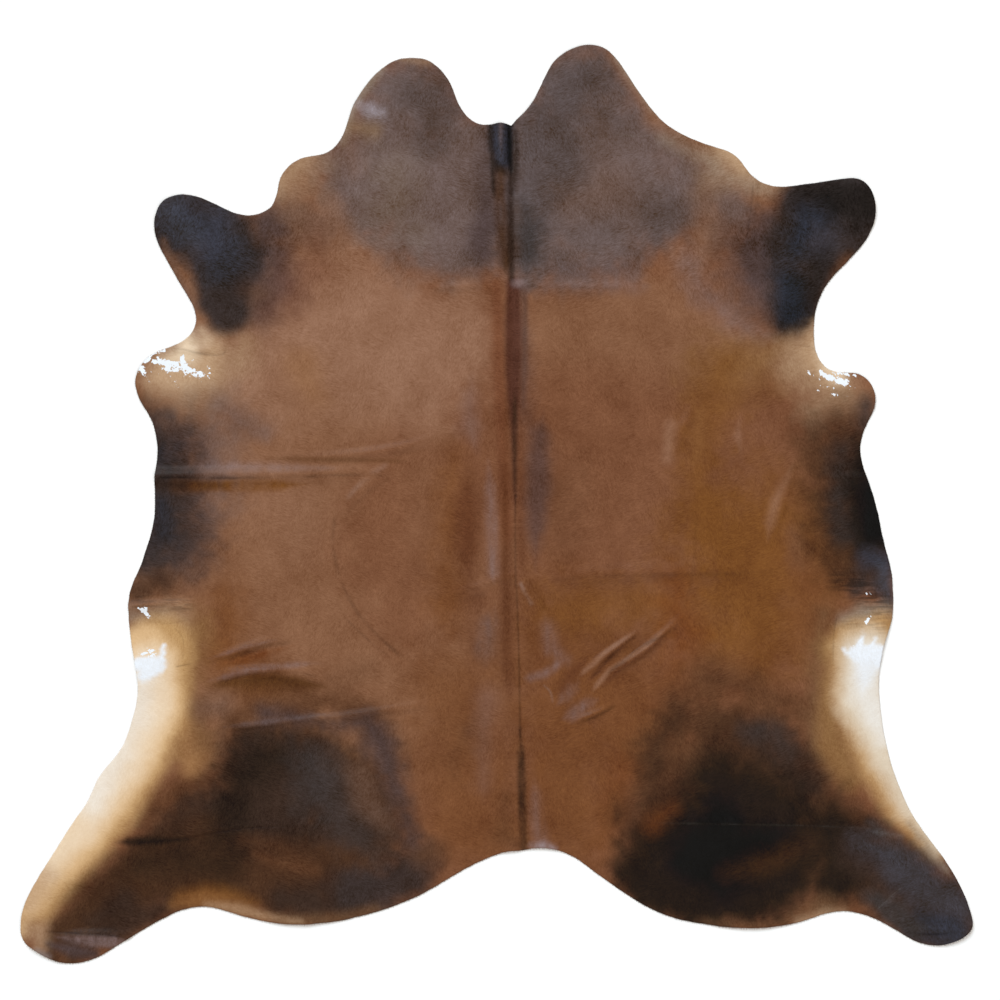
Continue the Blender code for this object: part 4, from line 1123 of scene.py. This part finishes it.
def build_sheet(node):
    """The leather as one closed sheet with a hair side, a cut edge and a flesh side, and its rim."""
    rim = fine_rim(rim_of_solid(node))
    normals, count = inward(rim), len(rim)
    folds = [(fold_line(fold), FOLD_REACH) for fold in FOLDS]
    lines = [crease.line for crease in CREASES if crease.reach > THIN]
    lines += [[p[:2] for p in fleck.line] for fleck in FLECKS]
    creases = [(curve_through(line, CREASE_STEP), CREASE_REACH) for line in lines]
    thin_lines = [curve_through(crease.line, THIN_STEP) for crease in CREASES if crease.reach <= THIN]
    top, top_triangles = cut_up(rim + normals * RIM_TOP[-1][0], COARSE, folds + creases, thin_lines)
    low, low_triangles = cut_up(rim + normals * RIM_UNDER[-1][0], UNDER, folds)

    x, y = top[:, 0], top[:, 1]
    depth, _ = crease_fields(x, y)
    room = distance_to_rim(x, y, rim)
    waves = cloud_layers(x, y, UNEVENNESS) * smooth(room / WAVES_FADE)
    height = lift_at(x, y) + THICKNESS + waves - np.minimum(depth, PRESSED_MOST)
    levels = [(top, height - RIM_DROP * smooth(1 - room / DROP_REACH))]
    rim_lift = lift_at(rim[:, 0], rim[:, 1])
    for inset, rise in (*reversed(RIM_TOP[:-1]), *RIM_UNDER[:-1]):
        levels.append((rim + normals * inset, rim_lift + rise))
    levels.append((low, lift_at(low[:, 0], low[:, 1])))
    places = np.concatenate([np.column_stack(level) for level in levels])
    starts = np.cumsum([0] + [len(flat) for flat, _ in levels[:-1]]).tolist()

    faces = [tuple(t) for t in top_triangles]
    slots = [HAIR_SIDE] * len(faces)
    for level, (upper, lower) in enumerate(zip(starts, starts[1:])):
        for k in range(count):
            n = (k + 1) % count
            faces.append((upper + k, lower + k, lower + n, upper + n))
        slots += [HAIR_SIDE if level < HAIRY_RINGS else CUT_EDGE] * count
    faces += [tuple(starts[-1] + i for i in reversed(t)) for t in low_triangles]
    slots += [FLESH_SIDE] * len(low_triangles)

    mesh = mesh_of("leather_hide", places, faces)
    mesh.polygons.foreach_set("material_index", slots)
    paint_sheet(mesh, places)
    mesh.validate()
    return placed("leather_hide", mesh), rim


# Hairs at the rim
HAIRS_A_STEP = 2
HAIR_INSET = 2.4  # how far inside the cut edge a rim hair grows
HAIR_LIE = (0.29, -0.96)  # away from the backbone and towards the tail
HAIR_OUT, HAIR_LAID, HAIR_SWAY = 0.9, 0.8, 0.9  # outwards, along the lie and sideways by chance
HAIR_LEAST, HAIR_LAID_MORE, HAIR_CHANCE = 2.9, 2.2, 1.8  # length, more along the lie, by chance
HAIR_RINGS = ((0.0, 2.35, 0.42), (0.5, 2.3, 0.34))  # share of the length, height and half width
RING_TURNS = (90, 210, 330)  # where a ring's three places lie, in degrees
TIP_LOW, TIP_CHANCE = 0.7, 1.3  # height of a tip, and how much higher by chance
TINT_LOW, TINT_CHANCE = 0.72, 0.56  # share of the coat's tone, and how much more by chance


def build_rim_hair(rim):
    """The coat's hairs that reach past the cut edge: short tapers, closed and three-sided."""
    order = np.arange(len(rim) * HAIRS_A_STEP)
    stray, sway, longer, rise = (lattice(order, 0, seed) for seed in (81, 82, 83, 84))
    step, part = order // HAIRS_A_STEP, ((order % HAIRS_A_STEP + stray) / HAIRS_A_STEP)[:, None]
    at_rim = rim[step] * (1 - part) + np.roll(rim, -1, 0)[step] * part
    out = -inward(rim)[step]
    aside, back = HAIR_LIE
    aside = np.where(at_rim[:, 0] > SPINE_X, aside, -aside)
    lie = np.stack([aside, np.full(len(order), back)], 1)
    along = np.clip((out * lie).sum(1), 0.0, 1.0)[:, None]
    sideways = (sway[:, None] - 0.5) * HAIR_SWAY * turned_left(out)
    way = unit(HAIR_OUT * out + HAIR_LAID * along * lie + sideways)
    length = HAIR_LEAST + HAIR_LAID_MORE * along + HAIR_CHANCE * longer[:, None]
    root = at_rim - out * HAIR_INSET
    floor_of = lift_at(at_rim[:, 0], at_rim[:, 1])
    rings = []
    for share, height, thick in HAIR_RINGS:
        middle = root + way * length * share
        for turn in RING_TURNS:
            across, up = thick * math.cos(math.radians(turn)), thick * math.sin(math.radians(turn))
            place = middle + turned_left(way) * across
            rings.append(np.column_stack([place, floor_of + height + up]))
    rings.append(np.column_stack([root + way * length, floor_of + TIP_LOW + TIP_CHANCE * rise]))
    places = np.stack(rings, 1).reshape(-1, 3)
    sides = [(0, 1, 2)]  # of one hair: the foot, and between two corners the shaft and the tip
    for a, b in ((0, 1), (1, 2), (2, 0)):
        sides += [(b, a, a + 3), (b, a + 3, b + 3), (b + 3, a + 3, 6)]
    faces = (order[:, None, None] * len(rings) + np.array(sides)[None]).reshape(-1, 3)
    mesh = mesh_of("rim_hair", places, faces.tolist())
    tint = coat_colours(root[:, 0], root[:, 1]) * (TINT_LOW + TINT_CHANCE * longer[:, None])
    paint_points(mesh, "coat_tone", np.repeat(unlit(tint), len(rings), 0))
    return placed("rim_hair", mesh)


# ---------------------------------------------------------------- materials
# The coat's grain: the size of its lumps in mm, how far they are drawn out along the hair, and
# the share that they have in it
GRAINS = table("Grain", "size drawn share", (
    (1.7, 1.9, 1.15),
    (3.6, 2.0, 1.15),
    (8, 1.7, 0.6),
    (18, 1.5, 0.4),
    (40, 1.2, 0.5),
    (100, 1.2, 1.1),
))
TUFT_MOST = 15  # grain below this size lies across the hair in places
GRAIN_CONTRAST = 0.145
GRAIN_FALL = -0.47  # the power of its light by which a tone's contrast falls
GRAIN_TINT = (0.76, 1.03, 1.34)  # how much of the grain each of red, green and blue shows
NECK_CONTRAST = 0.35  # how much more the neck shows
RIPPLE_SHADE = 0.5
JAG = 2.6  # how jagged the borders of the white flecks are


class Graph:
    """A material's node tree, with short names for its nodes."""

    def __init__(self, name):
        self.material = bpy.data.materials.new(name)
        self.material.use_nodes = True
        self.nodes = self.material.node_tree.nodes
        self.links = self.material.node_tree.links
        self.shader = self.nodes["Principled BSDF"]

    def feed(self, socket, value):
        """Links an output to a socket, or sets the socket to a value."""
        if isinstance(value, bpy.types.NodeSocket):
            self.links.new(value, socket)
        elif value is not None:
            socket.default_value = value

    def node(self, kind, inputs=(), **settings):
        """A new node with settings by name and inputs as pairs of socket and value."""
        node = self.nodes.new("ShaderNode" + kind)
        for name, value in settings.items():
            setattr(node, name, value)
        for socket, value in inputs:
            self.feed(node.inputs[socket], value)
        return node

    def attribute(self, name, output):
        return self.node("Attribute", attribute_name=name).outputs[output]

    def place(self):
        """Where on the object a point is, in metres."""
        return self.node("TexCoord").outputs["Object"]

    def math(self, kind, a, b):
        return self.node("Math", ((0, a), (1, b)), operation=kind).outputs[0]

    def plus(self, a, b):
        return self.math("ADD", a, b)

    def minus(self, a, b):
        return self.math("SUBTRACT", a, b)

    def times(self, a, b):
        return self.math("MULTIPLY", a, b)

    def vector(self, kind, *values):
        return self.node("VectorMath", enumerate(values), operation=kind).outputs[0]

    def gain(self, colour, factor):
        """A colour made lighter or darker by a factor."""
        return self.node("VectorMath", ((0, colour), ("Scale", factor)), operation="SCALE").outputs[0]

    def joined(self, value):
        """One value for all three channels."""
        return self.node("CombineXYZ", ((0, value), (1, value), (2, value))).outputs[0]

    def split(self, colour):
        return self.node("SeparateColor", ((0, colour),)).outputs

    def noise(self, vector, scale, detail=2.0, rough=0.55, warp=0.0):
        """Noise from 0 to 1 with scale lumps a metre."""
        values = (vector, scale, detail, rough, warp)
        inputs = zip(("Vector", "Scale", "Detail", "Roughness", "Distortion"), values)
        return self.node("TexNoise", inputs).outputs["Fac"]

    def spread(self, value, low, high, to_low=0.0, to_high=1.0, kind="SMOOTHSTEP"):
        """A value that runs from low to high, drawn out to run from to_low to to_high."""
        values = (value, low, high, to_low, to_high)
        inputs = zip(("Value", "From Min", "From Max", "To Min", "To Max"), values)
        return self.node("MapRange", inputs, interpolation_type=kind).outputs["Result"]

    def mix(self, factor, a, b, kind="MIX"):
        inputs = ((0, factor), (6, a), (7, b))
        return self.node("Mix", inputs, data_type="RGBA", blend_type=kind, clamp_factor=True).outputs[2]

    def bump(self, height, distance, normal=None, strength=1.0):
        values = (strength, distance, height, normal)
        return self.node("Bump", zip(("Strength", "Distance", "Height", "Normal"), values)).outputs[0]

    def surface(self, colour, rough, specular, normal=None, sheen=None):
        """Sets the shader and gives the material."""
        names = ("Base Color", "Roughness", "Specular IOR Level", "Normal", "Sheen Weight")
        for name, value in zip(names, (colour, rough, specular, normal, sheen)):
            self.feed(self.shader.inputs[name], value)
        return self.material


def rgb(name, share=1.0):
    """A tone as a socket takes it, darkened to a share of its light."""
    return (*[float(c) * share for c in linear(TONES[name])], 1.0)


def grain_of(g, lie):
    """The coat's grain: a noise for each row of GRAINS, and the sum of their swings."""
    turned = g.spread(g.noise(lie, 11, 1.0, 0.5), 0.44, 0.58)  # here the tufts lie across
    total, layers = None, []
    for grain in GRAINS:
        scale = 1000.0 / grain.size  # lumps a metre
        layer = g.noise(g.vector("MULTIPLY", lie, (1.0, 1.0 / grain.drawn, 1.0)), scale, 0.0, 0.5, 0.3)
        if grain.size < TUFT_MOST:
            flat = g.vector("MULTIPLY", lie, (0.8 / grain.drawn, 1.1, 1.0))
            across = g.noise(flat, scale, 0.0, 0.5, 0.3)
            layer = g.plus(layer, g.times(turned, g.minus(across, layer)))
        layers.append(layer)
        swing = g.times(g.minus(layer, 0.5), grain.share)
        total = swing if total is None else g.plus(total, swing)
    return layers, total


def coat_material():
    """The hair side: the painted tones with grain, fine wrinkles and white flecks."""
    g = Graph("hair_coat_fine")
    white, neck, ripple = g.split(g.attribute("coat_marks", "Color"))
    tone = g.attribute("coat_tone", "Color")
    (strands, tufts, *_), total = grain_of(g, g.attribute("coat_lie", "Vector"))

    # Dark hair shows its grain more, and so does the neck. Red and green tell how light it is
    red, green, _ = g.split(tone)
    light = g.plus(g.times(red, 0.3), g.times(green, 0.7))
    contrast = g.times(GRAIN_CONTRAST, g.math("POWER", g.plus(light, 0.004), GRAIN_FALL))
    contrast = g.times(contrast, g.plus(1.0, g.times(neck, NECK_CONTRAST)))
    contrast = g.times(contrast, g.spread(light, 0.25, 0.6, 1.0, 0.6))
    shading = g.vector("MULTIPLY_ADD", g.joined(g.times(total, contrast)), GRAIN_TINT, (1.0, 1.0, 1.0))
    colour = g.mix(1.0, tone, shading, "MULTIPLY")

    # Fine wrinkles, painted as shade and drawn out from side to side
    waves = g.noise(g.vector("MULTIPLY", g.place(), (0.14, 1.0, 1.0)), 170, 1.0, 0.5, 0.4)
    pressed = g.times(g.spread(waves, 0.42, 0.6), ripple)
    colour = g.gain(colour, g.minus(1.0, g.times(pressed, RIPPLE_SHADE)))

    # White hairs, dense where their painted share is high
    jag = g.noise(g.attribute("fleck_lie", "Vector"), 105, 3.0, 0.6, 0.5)
    dense = g.plus(white, g.times(g.minus(jag, 0.5), JAG))
    dense = g.times(g.spread(dense, 0.62, 0.74), g.spread(white, 0.04, 0.12))
    colour = g.mix(dense, colour, rgb("white", 0.93))

    rough = g.spread(tufts, 0.3, 0.7, 0.40, 0.50, "LINEAR")
    relief = g.bump(tufts, 0.0008, g.bump(strands, 0.0005, strength=0.4), 0.4)
    return g.surface(colour, rough, 0.10, relief)


def hair_material():
    """The hairs at the rim, each in the tone of its place."""
    g = Graph("hair_ends")
    strands = g.noise(g.place(), 1400)
    colour = g.gain(g.attribute("coat_tone", "Color"), g.spread(strands, 0.3, 0.7, 0.75, 1.2, "LINEAR"))
    return g.surface(colour, 0.46, 0.12, g.bump(strands, 0.0002, strength=0.4))


def edge_material():
    """The cut leather under the coat."""
    g = Graph("cut_leather")
    place = g.place()
    fibres = g.noise(place, 900, 3.0, 0.6)
    layers = g.noise(g.vector("MULTIPLY", place, (1.0, 1.0, 6.0)), 260)
    colour = g.mix(fibres, rgb("buff"), rgb("sand"))
    colour = g.mix(g.spread(layers, 0.4, 0.7, 0.0, 0.5), colour, rgb("tan"))
    return g.surface(colour, 0.86, 0.2, g.bump(fibres, 0.0005, strength=0.6))


def flesh_material():
    """The split flesh side: pale, napped like suede."""
    g = Graph("flesh_side")
    place = g.place()
    nap = g.noise(place, 520, 3.0, 0.65)
    dye = g.noise(place, 9, 4.0, 0.6, 0.8)
    scrapes = g.noise(g.vector("MULTIPLY", place, (0.35, 3.0, 1.0)), 60, 3.0, 0.6, 0.3)
    colour = g.mix(g.spread(dye, 0.35, 0.7), rgb("sand"), rgb("cream", 0.82))
    colour = g.mix(g.spread(scrapes, 0.5, 0.8, 0.0, 0.35), colour, rgb("buff"))
    colour = g.gain(colour, g.spread(nap, 0.2, 0.8, 0.86, 1.1, "LINEAR"))
    relief = g.bump(nap, 0.0008, g.bump(scrapes, 0.0012, strength=0.4), 0.6)
    return g.surface(colour, 0.9, 0.2, relief, sheen=0.2)


# ---------------------------------------------------------------- studio
# In metres. The windows: name, degrees from +Y, degrees up, spread in degrees, strength, colour
FLOOR_FAR = 40.0
FLOOR_DROP = 0.0002
FLOOR_PAINT = (0.93, 0.93, 0.93, 1.0)
AIR, AIR_STRENGTH = (1.0, 0.985, 0.96, 1.0), 0.46
WINDOWS = (
    ("key_window", -24, 44, 34, 2.5, (0.86, 0.94, 1.0)),
    ("fill_window", 150, 60, 50, 0.7, (1.0, 0.93, 0.84)),
)
WINDOW_AWAY = 5.0
VIEW_MIDDLE = (0.0075, 0.0096)
HALF_FIELD = 1.1  # from the middle of the picture to its side
LENS, SENSOR = 85.0, 36.0  # in millimetres


def floor_piece():
    """A wide pale floor, a hair's breadth under the hide."""
    corners = [(x * FLOOR_FAR, y * FLOOR_FAR, 0) for x, y in ((-1, -1), (1, -1), (1, 1), (-1, 1))]
    mesh = bpy.data.meshes.new("studio_floor")
    mesh.from_pydata(corners, [], [(0, 1, 2, 3)])
    mesh.materials.append(Graph("floor_paint").surface(FLOOR_PAINT, 0.9, 0.1))
    floor = placed("studio_floor", mesh)
    floor.location.z = -FLOOR_DROP
    return floor


def soft_light(name, turn, rise, spread, strength, colour):
    """Even light from a broad, distant window: degrees from +Y, then degrees up."""
    turn, rise = math.radians(turn), math.radians(rise)
    away = Vector((math.sin(turn) * math.cos(rise), math.cos(turn) * math.cos(rise), math.sin(rise)))
    light = bpy.data.lights.new(name, "SUN")
    light.angle = math.radians(spread)
    light.energy = strength
    light.color = colour
    window = placed(name, light)
    window.location = away * WINDOW_AWAY
    window.rotation_mode = "QUATERNION"
    window.rotation_quaternion = away.to_track_quat("Z", "Y")


def light_studio():
    """Pale air and two windows."""
    world = bpy.data.worlds.new("studio_air")
    world.use_nodes = True
    air = world.node_tree.nodes["Background"]
    air.inputs["Color"].default_value = AIR
    air.inputs["Strength"].default_value = AIR_STRENGTH
    scene = bpy.context.scene
    scene.world = world
    for window in WINDOWS:
        soft_light(*window)
    scene.view_settings.view_transform = "Standard"
    scene.view_settings.look = "None"


def set_camera():
    """The photograph's view: straight down from above."""
    lens = bpy.data.cameras.new("photo_camera")
    lens.lens = LENS
    lens.sensor_width = SENSOR
    camera = placed("photo_camera", lens)
    camera.location = (*VIEW_MIDDLE, HALF_FIELD * LENS / (SENSOR / 2) + THICKNESS * MM)
    camera.rotation_euler = (0.0, 0.0, 0.0)
    bpy.context.scene.camera = camera


# ---------------------------------------------------------------- the scene
sheet, rim = build_sheet(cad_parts["hide"])
for material in (coat_material(), edge_material(), flesh_material()):
    sheet.data.materials.append(material)

floor = floor_piece()
light_studio()
set_camera()

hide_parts("hide")
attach(sheet, "root")

hair = build_rim_hair(rim)
hair.data.materials.append(hair_material())
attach(hair, "root")

for piece in (sheet, hair):
    print(piece.name, "triangles", sum(len(p.vertices) - 2 for p in piece.data.polygons))
